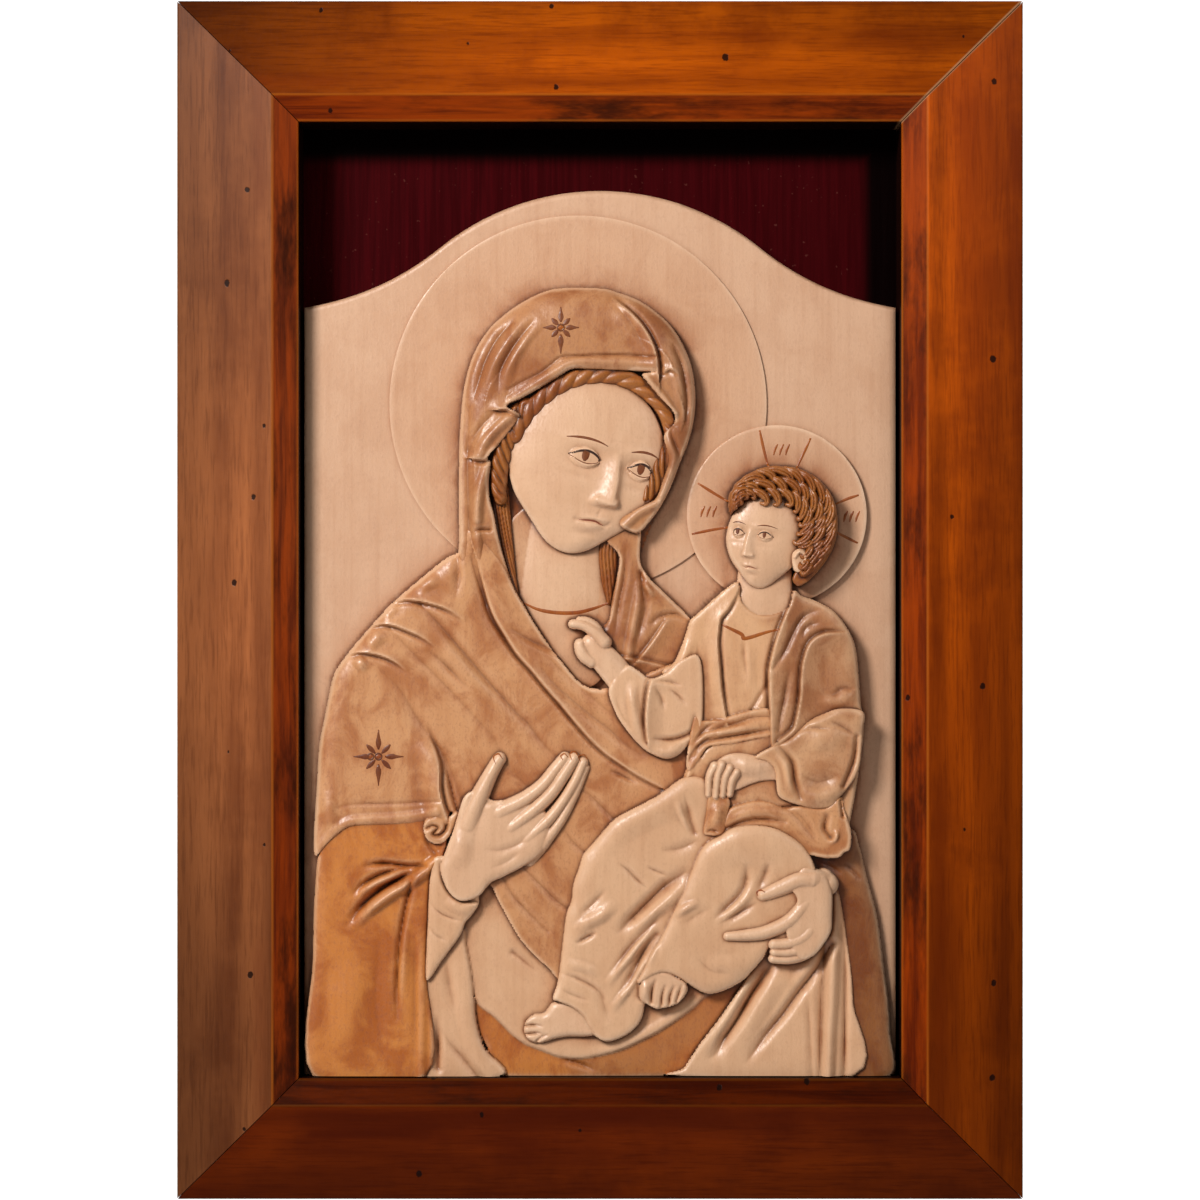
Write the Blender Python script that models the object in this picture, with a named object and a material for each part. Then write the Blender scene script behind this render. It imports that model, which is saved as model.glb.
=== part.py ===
"""Framed icon: an arched wooden panel carved in low relief, on a dark board in a mitred picture frame.

Metres, +Z up, the front towards -Y. The origin is the middle of the top rail's back face, against the wall.
"""

import math

import bmesh
import bpy
import numpy as np

MM = 0.001

# Frame: outside size, then the section of a rail, with heights over the wall
FRAME_WIDTH = 341 * MM
FRAME_HEIGHT = 483 * MM
WIDE_FACE = 39 * MM
INNER_BEVEL = 10.5 * MM
OUTER_EDGE_HEIGHT = 30 * MM
RIDGE_HEIGHT = 42 * MM
SIGHT_EDGE_HEIGHT = 36 * MM
EDGE_ROUNDING = 1.2 * MM
REBATE_WIDTH = 7.3 * MM
CLEARANCE = 0.3 * MM

# Board behind the panel, let into the rebate
BOARD_THICKNESS = 6 * MM
BOARD_BACK_HEIGHT = 3 * MM

# Carved panel: ground thickness and the depth of the carving over it
PANEL_SIDE_GAP = 1.5 * MM
BOARD_SHOWN_ABOVE = 26.7 * MM
PANEL_THICKNESS = 15.7 * MM
CARVING_DEPTH = 17 * MM
CUT_STEP = 1.3 * MM
FACETS_KEPT = 0.088

# Pattern of the carving: squares counted from its upper left corner, heights drawn in millimetres
PATTERN_MIDDLE = 600
PATTERN_WIDTH = 593
PATTERN_TOP = 191
PATTERN_FOOT = 1076
DRAWN_DEPTH = 17
DRAWN_SQUARE = 0.403
ON_THE_RIM = 0.05
JUST_WITHIN = 0.999
RIM_REACH = 0.45

# Arched top: a round crown between two hollow shoulders that end at a slope
CROWN_RADIUS = 102.8 * MM
CROWN_HALF_WIDTH = 64.5 * MM
SHOULDER_DROP = 47.2 * MM
SHOULDER_SLOPE = 0.17

# Face: places of the features as shares of its half width and half height, and the curls around it
PARALLAX = 0.3
EYE_LINE = 0.04
EYE_APART = 0.385
EYE_HALF = 0.19
RIM_POINTS = 72
CURLS = 11

RAIL_WIDTH = WIDE_FACE + INNER_BEVEL
BACK_FACE = RAIL_WIDTH - REBATE_WIDTH
FRAME_MIDDLE = BACK_FACE / 2 - FRAME_HEIGHT / 2
OPENING_WIDTH = FRAME_WIDTH - 2 * RAIL_WIDTH
OPENING_HEIGHT = FRAME_HEIGHT - 2 * RAIL_WIDTH
BOARD_FRONT_HEIGHT = BOARD_BACK_HEIGHT + BOARD_THICKNESS
PANEL_BACK_HEIGHT = BOARD_FRONT_HEIGHT + CLEARANCE
PANEL_WIDTH = OPENING_WIDTH - 2 * PANEL_SIDE_GAP
PANEL_HEIGHT = OPENING_HEIGHT - CLEARANCE - BOARD_SHOWN_ABOVE
SQUARE_WIDTH = PANEL_WIDTH / PATTERN_WIDTH
SQUARE_HEIGHT = PANEL_HEIGHT / (PATTERN_FOOT - PATTERN_TOP)


def clear_scene():
    for thing in list(bpy.data.objects):
        bpy.data.objects.remove(thing, do_unlink=True)


def material(name, colour, roughness):
    surface = bpy.data.materials.new(name)
    surface.use_nodes = True
    shader = surface.node_tree.nodes["Principled BSDF"]
    shader.inputs["Base Color"].default_value = (*colour, 1)
    shader.inputs["Roughness"].default_value = roughness
    shader.inputs["Metallic"].default_value = 0
    return surface


def add_to_part(thing, collection, surface, parent):
    collection.objects.link(thing)
    thing.data.materials.append(surface)
    thing.parent = parent


def rounded(corners, radius, steps=3):
    """Outline with an arc of the radius at each corner marked True."""
    points = []
    for i, (corner, is_round) in enumerate(corners):
        here = np.array(corner)
        before = np.array(corners[i - 1][0]) - here
        after = np.array(corners[(i + 1) % len(corners)][0]) - here
        before, after = before / np.linalg.norm(before), after / np.linalg.norm(after)
        if not is_round:
            points.append(here)
            continue
        half = math.acos(np.clip(before @ after, -1, 1)) / 2
        start, end = here + before * radius / math.tan(half), here + after * radius / math.tan(half)
        centre = here + (before + after) / np.linalg.norm(before + after) * radius / math.sin(half)
        for k in range(steps + 1):
            ray = (start - centre) * (1 - k / steps) + (end - centre) * k / steps
            points.append(centre + ray / np.linalg.norm(ray) * radius)
    return points


def rail_section():
    """Section of a rail: distance in from the outer edge, height over the wall."""
    rebate_edge = RAIL_WIDTH - REBATE_WIDTH
    rebate_height = BOARD_FRONT_HEIGHT + CLEARANCE
    return rounded(
        [
            ((0, 0), False),
            ((0, OUTER_EDGE_HEIGHT), True),
            ((WIDE_FACE, RIDGE_HEIGHT), True),
            ((RAIL_WIDTH, SIGHT_EDGE_HEIGHT), True),
            ((RAIL_WIDTH, rebate_height), False),
            ((rebate_edge, rebate_height), False),
            ((rebate_edge, 0), False),
        ],
        EDGE_ROUNDING,
    )


def rail(name, length, turn, reach, collection, surface, parent):
    """Rail drawn as a flat section, drawn out along its length, with both ends cut at 45 degrees."""
    section = bpy.data.curves.new(name, "CURVE")
    section.dimensions = "2D"
    section.fill_mode = "BOTH"
    section.extrude = length / 2
    spline = section.splines.new("POLY")
    points = rail_section()
    spline.points.add(len(points) - 1)
    for point, (inward, height) in zip(spline.points, points):
        point.co = (inward, height, 0, 1)
    spline.use_cyclic_u = True
    drawn = bpy.data.objects.new(name + "_section", section)
    collection.objects.link(drawn)
    bpy.context.view_layer.update()
    mesh = bpy.data.meshes.new_from_object(drawn.evaluated_get(bpy.context.evaluated_depsgraph_get()))
    bpy.data.objects.remove(drawn, do_unlink=True)

    work = bmesh.new()
    work.from_mesh(mesh)
    bmesh.ops.remove_doubles(work, verts=work.verts, dist=0.00001)
    for vertex in work.verts:
        inward, height, end = vertex.co
        half = length / 2 - inward - CLEARANCE / math.sqrt(2)
        vertex.co = (math.copysign(half, end), -height, reach - inward)
    bmesh.ops.recalc_face_normals(work, faces=work.faces)
    work.to_mesh(mesh)
    work.free()

    made = bpy.data.objects.new(name, mesh)
    made.rotation_euler = (0, turn, 0)
    add_to_part(made, collection, surface, parent)


def backboard(collection, surface, parent):
    width = OPENING_WIDTH + 2 * (REBATE_WIDTH - CLEARANCE)
    height = OPENING_HEIGHT + 2 * (REBATE_WIDTH - CLEARANCE)
    mesh = bpy.data.meshes.new("backboard")
    work = bmesh.new()
    bmesh.ops.create_cube(work, size=1)
    bmesh.ops.scale(work, vec=(width, BOARD_THICKNESS, height), verts=work.verts)
    work.to_mesh(mesh)
    work.free()
    made = bpy.data.objects.new("backboard", mesh)
    made.location = (0, -BOARD_BACK_HEIGHT - BOARD_THICKNESS / 2, 0)
    add_to_part(made, collection, surface, parent)


# The carving is drawn in layers, back to front. A path is a row of x,y in squares of the pattern.
# A third number is the width over which the layer's edge rounds down.


def read_path(text, edge):
    return np.array([([float(v) for v in word.split(",")] + [edge])[:3] for word in text.split()])


def smooth_line(text, closed=False, edge=3.0, steps=3):
    """Line through the points of a path, a Catmull-Rom cubic between each pair."""
    p = read_path(text, edge)
    if closed:
        p = np.vstack([p[-1], p, p[0], p[1]])
    else:
        p = np.vstack([2 * p[0] - p[1], p, 2 * p[-1] - p[-2]])
    t = np.linspace(0, 1, steps, endpoint=False)[None, :, None]
    a, b, c, d = (p[i : len(p) - 3 + i, None, :] for i in range(4))
    line = b + 0.5 * t * (c - a + t * (2 * a - 5 * b + 4 * c - d + t * (3 * b - a - 3 * c + d)))
    line = line.reshape(-1, 3)
    return line if closed else np.vstack([line, p[-2]])


def nearest(x, y, line, closed):
    """Distance to a line, share of its length, side, edge width, if it holds the point, and the nearest place."""
    a = line if closed else line[:-1]
    b = np.roll(line, -1, axis=0) if closed else line[1:]
    lengths = np.hypot(b[:, 0] - a[:, 0], b[:, 1] - a[:, 1])
    starts = np.cumsum(lengths) - lengths
    best = np.full(x.shape, 1e18)
    share, side, edge, near_x, near_y = (np.zeros(x.shape) for _ in range(5))
    held = np.zeros(x.shape, bool)
    for (ax, ay, ae), (bx, by, be), length, start in zip(a, b, lengths, starts):
        if length == 0:
            continue
        dx, dy = (bx - ax) / length, (by - ay) / length
        rx, ry = x - ax, y - ay
        run = np.clip(rx * dx + ry * dy, 0, length)
        distance = (rx - run * dx) ** 2 + (ry - run * dy) ** 2
        closer = distance < best
        best = np.where(closer, distance, best)
        share = np.where(closer, start + run, share)
        side = np.where(closer, np.sign(dx * ry - dy * rx), side)
        edge = np.where(closer, ae + (be - ae) * run / length, edge)
        near_x, near_y = np.where(closer, ax + run * dx, near_x), np.where(closer, ay + run * dy, near_y)
        if closed and ay != by:
            held ^= ((ay > y) != (by > y)) & (x < (bx - ax) * (y - ay) / (by - ay) + ax)
    return np.sqrt(best), share / lengths.sum(), side, edge, held, near_x, near_y


def close_to(x, y, line, reach):
    low, high = line[:, :2].min(0) - reach, line[:, :2].max(0) + reach
    return (x > low[0]) & (x < high[0]) & (y > low[1]) & (y < high[1])


def spread(values, share):
    values = np.atleast_1d(np.asarray(values, float))
    return np.interp(share, np.linspace(0, 1, len(values)), values)


def ease(t):
    t = np.clip(t, 0, 1)
    return t * t * (3 - 2 * t)


class Fold:
    """A change of height along a path, fading in and out along it. Side 1 is below a path drawn to the right."""

    def __init__(self, path, height, width, fade=(0, 1, 1, 0), side=1):
        self.line = smooth_line(path)
        self.height, self.width, self.fade, self.side = height, width, fade, side

    def add_to(self, x, y, heights):
        part = close_to(x, y, self.line, self.width + 4)
        if part.any():
            distance, share, side, *_ = nearest(x[part], y[part], self.line, False)
            shape = self.shape(distance, side * self.side)
            heights[part] += self.height * spread(self.fade, share) * shape


class Ridge(Fold):
    def shape(self, distance, side):
        return np.clip(1 - (distance / self.width) ** 2, 0, 1) ** 2


class Groove(Fold):
    def shape(self, distance, side):
        return -np.clip(1 - distance / self.width, 0, 1) ** 1.5


class Lap(Fold):
    """Cloth over cloth: it stands up on its side of the path and thins out within the width."""

    def shape(self, distance, side):
        across = distance * side
        rise = ease(across / 3 + 0.5) * np.clip(1 - across / self.width, 0, 1) ** 1.5
        hollow = np.clip(1 - np.abs(across + 2.4) / 4.5, 0, 1) ** 1.5
        return np.where(across > -1.5, rise, 0) - 0.45 * hollow


class Layer:
    """A raised shape: flat or sloping on top, its edge rounded down as a quarter of an ellipse."""

    def __init__(self, path, base, edge=4.0, slope=None, folds=(), drop=0.5):
        self.line = smooth_line(path, True, edge) if isinstance(path, str) else path
        self.base, self.slope, self.folds, self.drop = base, slope, folds, drop

    def height(self, x, y):
        heights = np.full(x.shape, -1.0)
        part = close_to(x, y, self.line, 0)
        if not part.any():
            return heights
        x, y = x[part], y[part]
        distance, _, _, edge, held, _, _ = nearest(x, y, self.line, True)
        top = np.full(x.shape, float(self.base))
        if self.slope:
            middle_x, middle_y, slope_x, slope_y = self.slope
            top += (x - middle_x) * slope_x + (y - middle_y) * slope_y
        for fold in self.folds:
            fold.add_to(x, y, top)
        u = 1 - np.clip(distance / edge, 0, 1)
        top -= self.drop * edge * DRAWN_SQUARE * (1 - np.sqrt(1 - u * u))
        heights[part] = np.where(held | (distance < ON_THE_RIM), top, -1)
        return heights

    def rim(self, x, y, within):
        """Which points lie within a distance of the outline or inside it, and the places drawn onto it."""
        part = close_to(x, y, self.line, within)
        inside, on = np.zeros(x.shape, bool), np.zeros(x.shape, bool)
        rim_x, rim_y = x.copy(), y.copy()
        if part.any():
            distance, _, _, _, held, near_x, near_y = nearest(x[part], y[part], self.line, True)
            close = distance < within
            inside[part], on[part] = held, close
            rim_x[part], rim_y[part] = np.where(close, near_x, x[part]), np.where(close, near_y, y[part])
        return inside, on, rim_x, rim_y


class Disc(Layer):
    def __init__(self, x, y, radius, base, edge, slope=None):
        turn = np.linspace(0, 2 * math.pi, RIM_POINTS, endpoint=False)
        rim = np.column_stack([x + radius * np.cos(turn), y + radius * np.sin(turn), np.full(RIM_POINTS, edge)])
        super().__init__(rim, base, slope=slope)


class Limb:
    """A rounded limb along a path, half an ellipse across. Radius, foot and rise are spread along it."""

    def __init__(self, path, radius, foot, rise):
        self.line, self.radius, self.foot, self.rise = smooth_line(path), radius, foot, rise

    def height(self, x, y):
        heights = np.full(x.shape, -1.0)
        part = close_to(x, y, self.line, np.max(self.radius))
        if part.any():
            distance, share, *_ = nearest(x[part], y[part], self.line, False)
            u = distance / spread(self.radius, share)
            top = spread(self.foot, share) + spread(self.rise, share) * np.sqrt(np.clip(1 - u * u, 0, 1))
            heights[part] = np.where(u <= 1, top, -1)
        return heights

    def rim(self, x, y, within):
        part = close_to(x, y, self.line, np.max(self.radius) + within)
        inside, on = np.zeros(x.shape, bool), np.zeros(x.shape, bool)
        rim_x, rim_y = x.copy(), y.copy()
        if part.any():
            distance, share, _, _, _, near_x, near_y = nearest(x[part], y[part], self.line, False)
            radius = spread(self.radius, share)
            close = np.abs(radius - distance) < within
            inside[part], on[part] = distance < radius, close
            scale = np.where(close, JUST_WITHIN * radius / np.maximum(distance, ON_THE_RIM), 1)
            rim_x[part] = np.where(close, near_x + (x[part] - near_x) * scale, x[part])
            rim_y[part] = np.where(close, near_y + (y[part] - near_y) * scale, y[part])
        return inside, on, rim_x, rim_y


class Head:
    """A head in low relief: an egg leaning and turned to one side, with plain even features.

    Across the face s runs from its middle line, and v from the chin at -1 to the crown at 1.
    """

    def __init__(self, x, y, half_width, half_height, lean, turn, foot, rise, relief):
        self.middle, self.half = (x, y), (half_width, half_height)
        self.lean, self.turn = math.radians(lean), math.radians(turn)
        self.foot, self.rise, self.relief = foot, rise, relief
        self.line = self.outline()

    rim = Layer.rim

    def outline(self):
        turn = np.linspace(0, 2 * math.pi, RIM_POINTS, endpoint=False)
        v = np.sin(turn)
        dx, dy = np.cos(turn) * self.jaw(v) * self.half[0], v * self.half[1]
        x = self.middle[0] + dx * math.cos(self.lean) + dy * math.sin(self.lean)
        y = self.middle[1] - (dy * math.cos(self.lean) - dx * math.sin(self.lean))
        return np.column_stack([x, y, np.ones(x.shape)])

    def jaw(self, v):
        """The egg narrows below its middle, and once more at the chin."""
        return 1 - 0.18 * ease(-v) - 0.12 * ease((-v - 0.45) * 2.5)

    def height(self, x, y):
        dx, dy = x - self.middle[0], self.middle[1] - y
        u = (dx * math.cos(self.lean) - dy * math.sin(self.lean)) / self.half[0]
        v = (dx * math.sin(self.lean) + dy * math.cos(self.lean)) / self.half[1]
        u = u / self.jaw(v)
        inside = u * u + v * v < 1 + ON_THE_RIM
        bump = np.zeros(x.shape)
        for _ in range(4):
            back = u - PARALLAX * bump * math.sin(self.turn)
            deep = np.sqrt(np.clip(1 - back**2 - v**2, 0, 1))
            turned = back * math.cos(self.turn) - deep * math.sin(self.turn)
            bump = self.features(turned, v)
        round_form = np.sqrt(np.clip(1 - u**2 - v**2, 0, 1))
        return np.where(inside, self.foot + self.rise * round_form + self.relief * bump, -1)

    def features(self, across, v):
        """Even features: eyes at mid height, nose half way from them to the chin, mouth a third below it."""
        s = np.abs(across)

        def swell(x0, y0, wide, high):
            return np.exp(-(((s - x0) / wide) ** 2) - ((v - y0) / high) ** 2)

        run = np.clip((0.16 - v) / 0.52, 0, 1.2)
        nose = (0.20 + 0.72 * run) * np.exp(-((across / (0.085 + 0.06 * run)) ** 2))
        nose *= ease((0.26 - v) * 5) * ease((v + 0.43) * 14)
        wings = 0.30 * swell(0.125, -0.345, 0.07, 0.06)
        t = (s - EYE_APART) / EYE_HALF
        eyeball = 0.48 * np.sqrt(np.clip(1 - t**2 - ((v - EYE_LINE) / 0.10) ** 2, 0, 1))
        sockets = -0.5 * swell(0.34, 0.07, 0.28, 0.14)
        brows = 0.26 * swell(0.34, 0.235, 0.30, 0.07)
        mouth = 0.24 * swell(0, -0.60, 0.32, 0.17) + 0.2 * swell(0, -0.66, 0.16, 0.05)
        mouth -= 0.34 * swell(0, -0.60, 0.22, 0.03)
        chin = 0.28 * swell(0, -0.87, 0.24, 0.10) - 0.16 * swell(0, -0.74, 0.20, 0.05)
        return nose + wings + sockets + eyeball + brows + mouth + chin


def haloes():
    return [Disc(578, 405, 189, 1.1, 1), Disc(777, 516, 90, 2.3, 1, slope=(777, 516, 0.006, 0.006))]


def lower_drapery():
    """The cloth at the foot of the panel: right sleeve, pale folds, brown band and the lap between."""
    right_sleeve = Layer(
        "790,858 820,848 851,830 859,845,12 867,877,14 885,973,14 891,1034,14 893,1079,14 840,1079 "
        "830,960 810,900",
        6.0,
        slope=(840, 960, -0.01, 0),
    )
    pale_folds = Layer(
        "676,1079 700,1044,5 747,977,5 765,945 800,925 825,880 835,881,5 847,942,5 853,1003,5 854,1079,5",
        7.2,
        folds=[
            Groove("774,960 749,999 725,1038 707,1060", 3.2, 11, (0.3, 1, 0.8, 0)),
            Ridge("762,966 735,1006 709,1042 697,1058", 1.2, 12),
            Groove("832,944 806,983 782,1016 743,1066", 2.4, 10, (1, 1, 0.8, 0)),
            Ridge("836,900 832,973 829,1034 827,1079", 1.8, 9, (0.5, 1, 1, 1)),
            Groove("829,900 821,1000 819,1079", 1.2, 9, (0, 1, 1)),
            Groove("842,920 845,1003 844,1079", 1.3, 7, (0, 1, 1)),
        ],
    )
    brown_band = Layer("470,985 500,960 720,940 748,976 718,1022,6 692,1057,6 680,1079 480,1079 478,1030", 4.3)
    lap = Layer(
        "462,925 478,890 500,880 640,900 740,960 707,996,5 674,1022,5 639,1042,5 605,1055,5 561,1058,5 "
        "526,1045,5 495,1018,5 475,1000 468,960",
        5.4,
    )
    pale_strip = Layer(
        "424,940 445,940 463,928 470,967,5 475,1014,5 487,1052,5 503,1079,5 424,1079",
        7.0,
        folds=[
            Groove("437,1020 438,1040 438,1068", 2.4, 8, (0.2, 1, 0.6)),
            Groove("440,1026 463,1058 480,1079", 1.3, 9, (0, 1, 1)),
            Ridge("458,960 466,1020 488,1076", 0.8, 12, (0, 1, 1)),
        ],
    )
    return [right_sleeve, pale_folds, brown_band, lap, pale_strip]


def mantle():
    """The cloak over shoulder and breast, with its short sleeve and the long sleeve below."""
    shoulder_creases = [
        Lap("386,607 414,602 446,610 467,624", 1.5, 16, side=-1),
        Lap("364,631 394,627 423,639 437,649", 1.7, 17, side=-1),
        Lap("345,657 373,655 398,665 408,673", 1.7, 16, side=-1),
        Ridge("398,603 389,611 380,620", 1.0, 9),
        Ridge("384,633 374,641 366,649", 1.2, 10),
    ]
    long_folds = [
        Groove("421,606 455,643 492,686 529,725 556,757", 1.6, 9, (0.6, 1, 1, 0.8, 0.3)),
        Ridge("432,630 472,678 492,700", 0.7, 11),
        Groove("391,631 437,677 494,738 530,790", 0.8, 8, (0.6, 1, 0.5, 0.6)),
        Groove("430,652 446,666 470,691", 1.4, 8, (0.2, 1, 0)),
        Groove("371,655 401,691 433,741 458,790 466,810", 1.5, 12, (0.1, 0.5, 1, 1, 1)),
        Lap("476,560 493,616 532,672 575,723 622,766 660,788", 2.2, 26, (0.6, 1, 1, 0.8, 0.6), side=-1),
        Groove("474,560 491,618 530,674", 1.5, 11, (0.5, 1, 0.2)),
        Groove("541,669 575,703 612,732 641,755", 1.0, 8, (0.3, 1, 1, 0.5)),
        Groove("512,630 556,653 605,685 612,692", 1.4, 7, (0.3, 1, 1, 0.8)),
    ]
    short_sleeve = [
        Ridge("419,742 434,785 437,806", 1.4, 15, (0, 1, 1)),
        Lap("424,722 438,755 441,787 449,818", 2.0, 20, (0, 0.7, 1, 1)),
        Groove("444,757 450,782 459,815", 1.4, 6, (0.2, 1, 1)),
        Ridge("322,846 347,823 400,818 436,813", 0.8, 8, (0.4, 1, 1, 1)),
    ]
    cloak = Layer(
        "470,530 459,552,14 421,579,20 391,605,20 347,655,20 328,700,20 320,740,20 316,800,16 314,840,8 "
        "316,856,3 346,829,3 400,825,3 437,820,3 447,825,3 452,812,3 470,840 470,900 488,884,3 520,939,3 "
        "562,982,3 576,974 600,900 640,850 690,830 700,800 700,700 690,660 600,690 560,660 520,600 500,560",
        8.6,
        slope=(400, 760, 0.001, 0.002),
        folds=shoulder_creases + long_folds + short_sleeve,
    )
    long_sleeve = Layer(
        "322,846 350,815 430,812 446,838 443,856,3 431,875,5 428,922,5 426,1079,5 313,1079,10 313,960,12 "
        "315,890,12",
        8.0,
        slope=(370, 960, 0.006, 0),
        folds=[
            Groove("362,867 389,864 426,866", 2.4, 6, (0, 1, 0.5)),
            Groove("354,893 377,877 408,868", 2.4, 7, (0.2, 1, 0.3)),
            Groove("351,922 371,898 420,869", 3.6, 9, (0.2, 1, 0.2)),
            Ridge("355,922 392,893 440,859", 2.6, 9, (0.2, 1, 0.8)),
            Groove("412,879 403,922 398,969 397,1024", 1.6, 7, (1, 1, 1, 0)),
            Groove("380,930 376,1000 384,1060", 0.8, 22),
        ],
    )
    curl = Layer("424,826,3 438,817,3 458,813,3 447,840,3 429,841,3", 10.4)
    return [cloak, long_sleeve, curl]


def mothers_head():
    """Hood, neck, face and the hair that frames it, then the veil, which falls over the right shoulder."""
    hood = Layer(
        "496,400 560,362 640,365 684,400 680,470 650,530 625,600 600,640 540,640 515,600 492,540 485,450", 3.2
    )
    breast = Layer("500,540 519,597 556,632 600,668 622,640 604,560 606,520 540,500", 4.8)
    neck = Limb("572,520 560,600 556,640", (46, 50, 60), (1.6, 2.4, 2.8), (3.8, 3.2, 2.4))
    face = Head(586, 466, 79, 90, 14, 22, 7.0, 5.2, 3.6)
    hair = [
        Limb("668,424 672,440 655,484 646,500", (6, 9, 9, 6), 8.2, 2.4),
        Limb("614,528 608,578 609,604", (11, 8, 3), 3.5, 2.4),
        Limb("499,490 502,520 508,560 517,597", (9, 9, 7, 2), 4.2, 2.4),
        Limb("501,500 499,485 503,455 528,415 563,386 612,377 651,397 671,436", (6, 9, 9, 9, 9, 9, 8, 6), 8.4, 2.2),
    ]
    right_fall = Layer(
        "606,540 622,526 640,528 640,560 648,577,4 690,619,6 702,640 690,678 640,690 598,660 600,632,3 "
        "612,600,3 619,557,3",
        7.2,
        folds=[
            Groove("616,560 611,597 603,627", 1.4, 7, (0.4, 1, 0.8)),
            Ridge("640,585 633,629 628,658", 1.2, 7, (0.4, 1, 1)),
            Lap("664,624 638,660", 1.3, 12, (0.6, 1, 1), side=-1),
            Lap("618,657 672,668", 1.2, 9, (0.6, 1, 1)),
        ],
    )
    veil = Layer(
        "474,650,3 455,600,5 459,545,18 459,470,24 464,388,36 488,331,42 522,303,44 560,289,44 600,289,44 "
        "640,302,42 675,332,36 692,370,28 695,410,22 687,447,14 672,485,9 655,516,7 627,531,3 622,519,3 "
        "655,500,3 668,464,3 664,436,3 674,419,3 646,383,3 655,374,3 615,372,3 572,371,3 540,390,3 "
        "507,408,3 520,417,3 500,445,3 488,459,3 489,482,4 494,515,4 506,565,4 530,620,6 520,650,6",
        11.4,
        slope=(575, 440, 0, -0.006),
        folds=[
            Ridge("490,545 496,600 500,640", -3.0, 60, (0, 0.8, 1)),
            Groove("474,400 486,362 517,320", 1.4, 9, (0.3, 1, 0)),
            Groove("498,398 508,358 537,320", 1.3, 8),
            Ridge("508,392 515,358 545,320", 0.9, 8),
            Groove("469,410 468,470 472,570 485,605", 1.2, 8, (0.3, 1, 1, 0.5)),
            Groove("481,532 497,590 512,620", 1.6, 8, (0.3, 1, 0.8)),
            Lap("612,299 645,330 659,376", 2.2, 22, (0, 1, 0.8)),
            Groove("672,343 685,382 686,432", 1.2, 5, (0, 1, 0)),
            Ridge("512,402 556,374 600,364 652,367", 1.0, 7, (0.8, 1, 1, 0.8)),
            Lap("500,412 519,418", 1.6, 14, (1, 1), side=-1),
            Ridge("514,416 487,442 480,456", 1.3, 7, (0.8, 1, 1)),
            Lap("474,461 494,458", 1.6, 12, (1, 1), side=-1),
            Ridge("487,468 479,505 478,520", 1.2, 7, (0.8, 1, 0.8)),
            Ridge("646,380 674,416", 1.2, 6, (1, 1)),
            Ridge("671,432 674,462 660,502", 1.0, 6, (0.6, 1, 1)),
        ],
    )
    return [hood, breast, neck, face, *hair, right_fall, veil]


def raised_hand():
    """Cuff, palm, thumb and four fingers that point up to the right."""
    cuff = Layer(
        "438,856,5 429,898,10 427,942,10 427,980,6 451,949,8 466,922,8 479,904,8 480,894,6 492,880 480,862",
        10.6,
        slope=(450, 900, 0, -0.012),
        folds=[Groove("441,864 451,892 478,901", 1.2, 6, (0.4, 1, 1))],
    )
    palm = Layer(
        "441,868,10 452,834,12 459,812,12 466,795 480,790 492,800 511,799 527,799 544,810 549,826 "
        "541,846,12 505,876,12 480,895,8 462,900,4 449,890,4",
        12.4,
        slope=(480, 850, -0.009, 0.009),
    )
    fingers = [
        Limb("466,836 474,812 487,782 500,759", (13, 12, 9.5, 7), (6.4, 7.6, 8.0, 8.0), (5.2, 5.4, 5.4, 4.2)),
        Limb("532,854 550,834 571,802 586,768", (7, 6, 5.5, 4.5), (6.4, 7.4, 7.6, 7.6), (3.6, 3.6, 3.4, 3.0)),
        Limb("514,852 538,830 563,801 583,763", (8, 7, 6.5, 6), (6.2, 7.6, 8.0, 8.2), (4.4, 4.4, 4.3, 3.7)),
        Limb("500,838 526,816 552,792 574,759", (8.5, 8, 7.6, 6.6), (6.4, 8.0, 8.6, 8.8), (4.6, 4.6, 4.6, 4)),
        Limb("488,820 514,804 543,785 565,758", (10, 9, 7.6, 6.4), (6.6, 8, 8.6, 8.8), (4.6, 4.6, 4.5, 3.8)),
    ]
    return [cuff, palm, *fingers]


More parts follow.
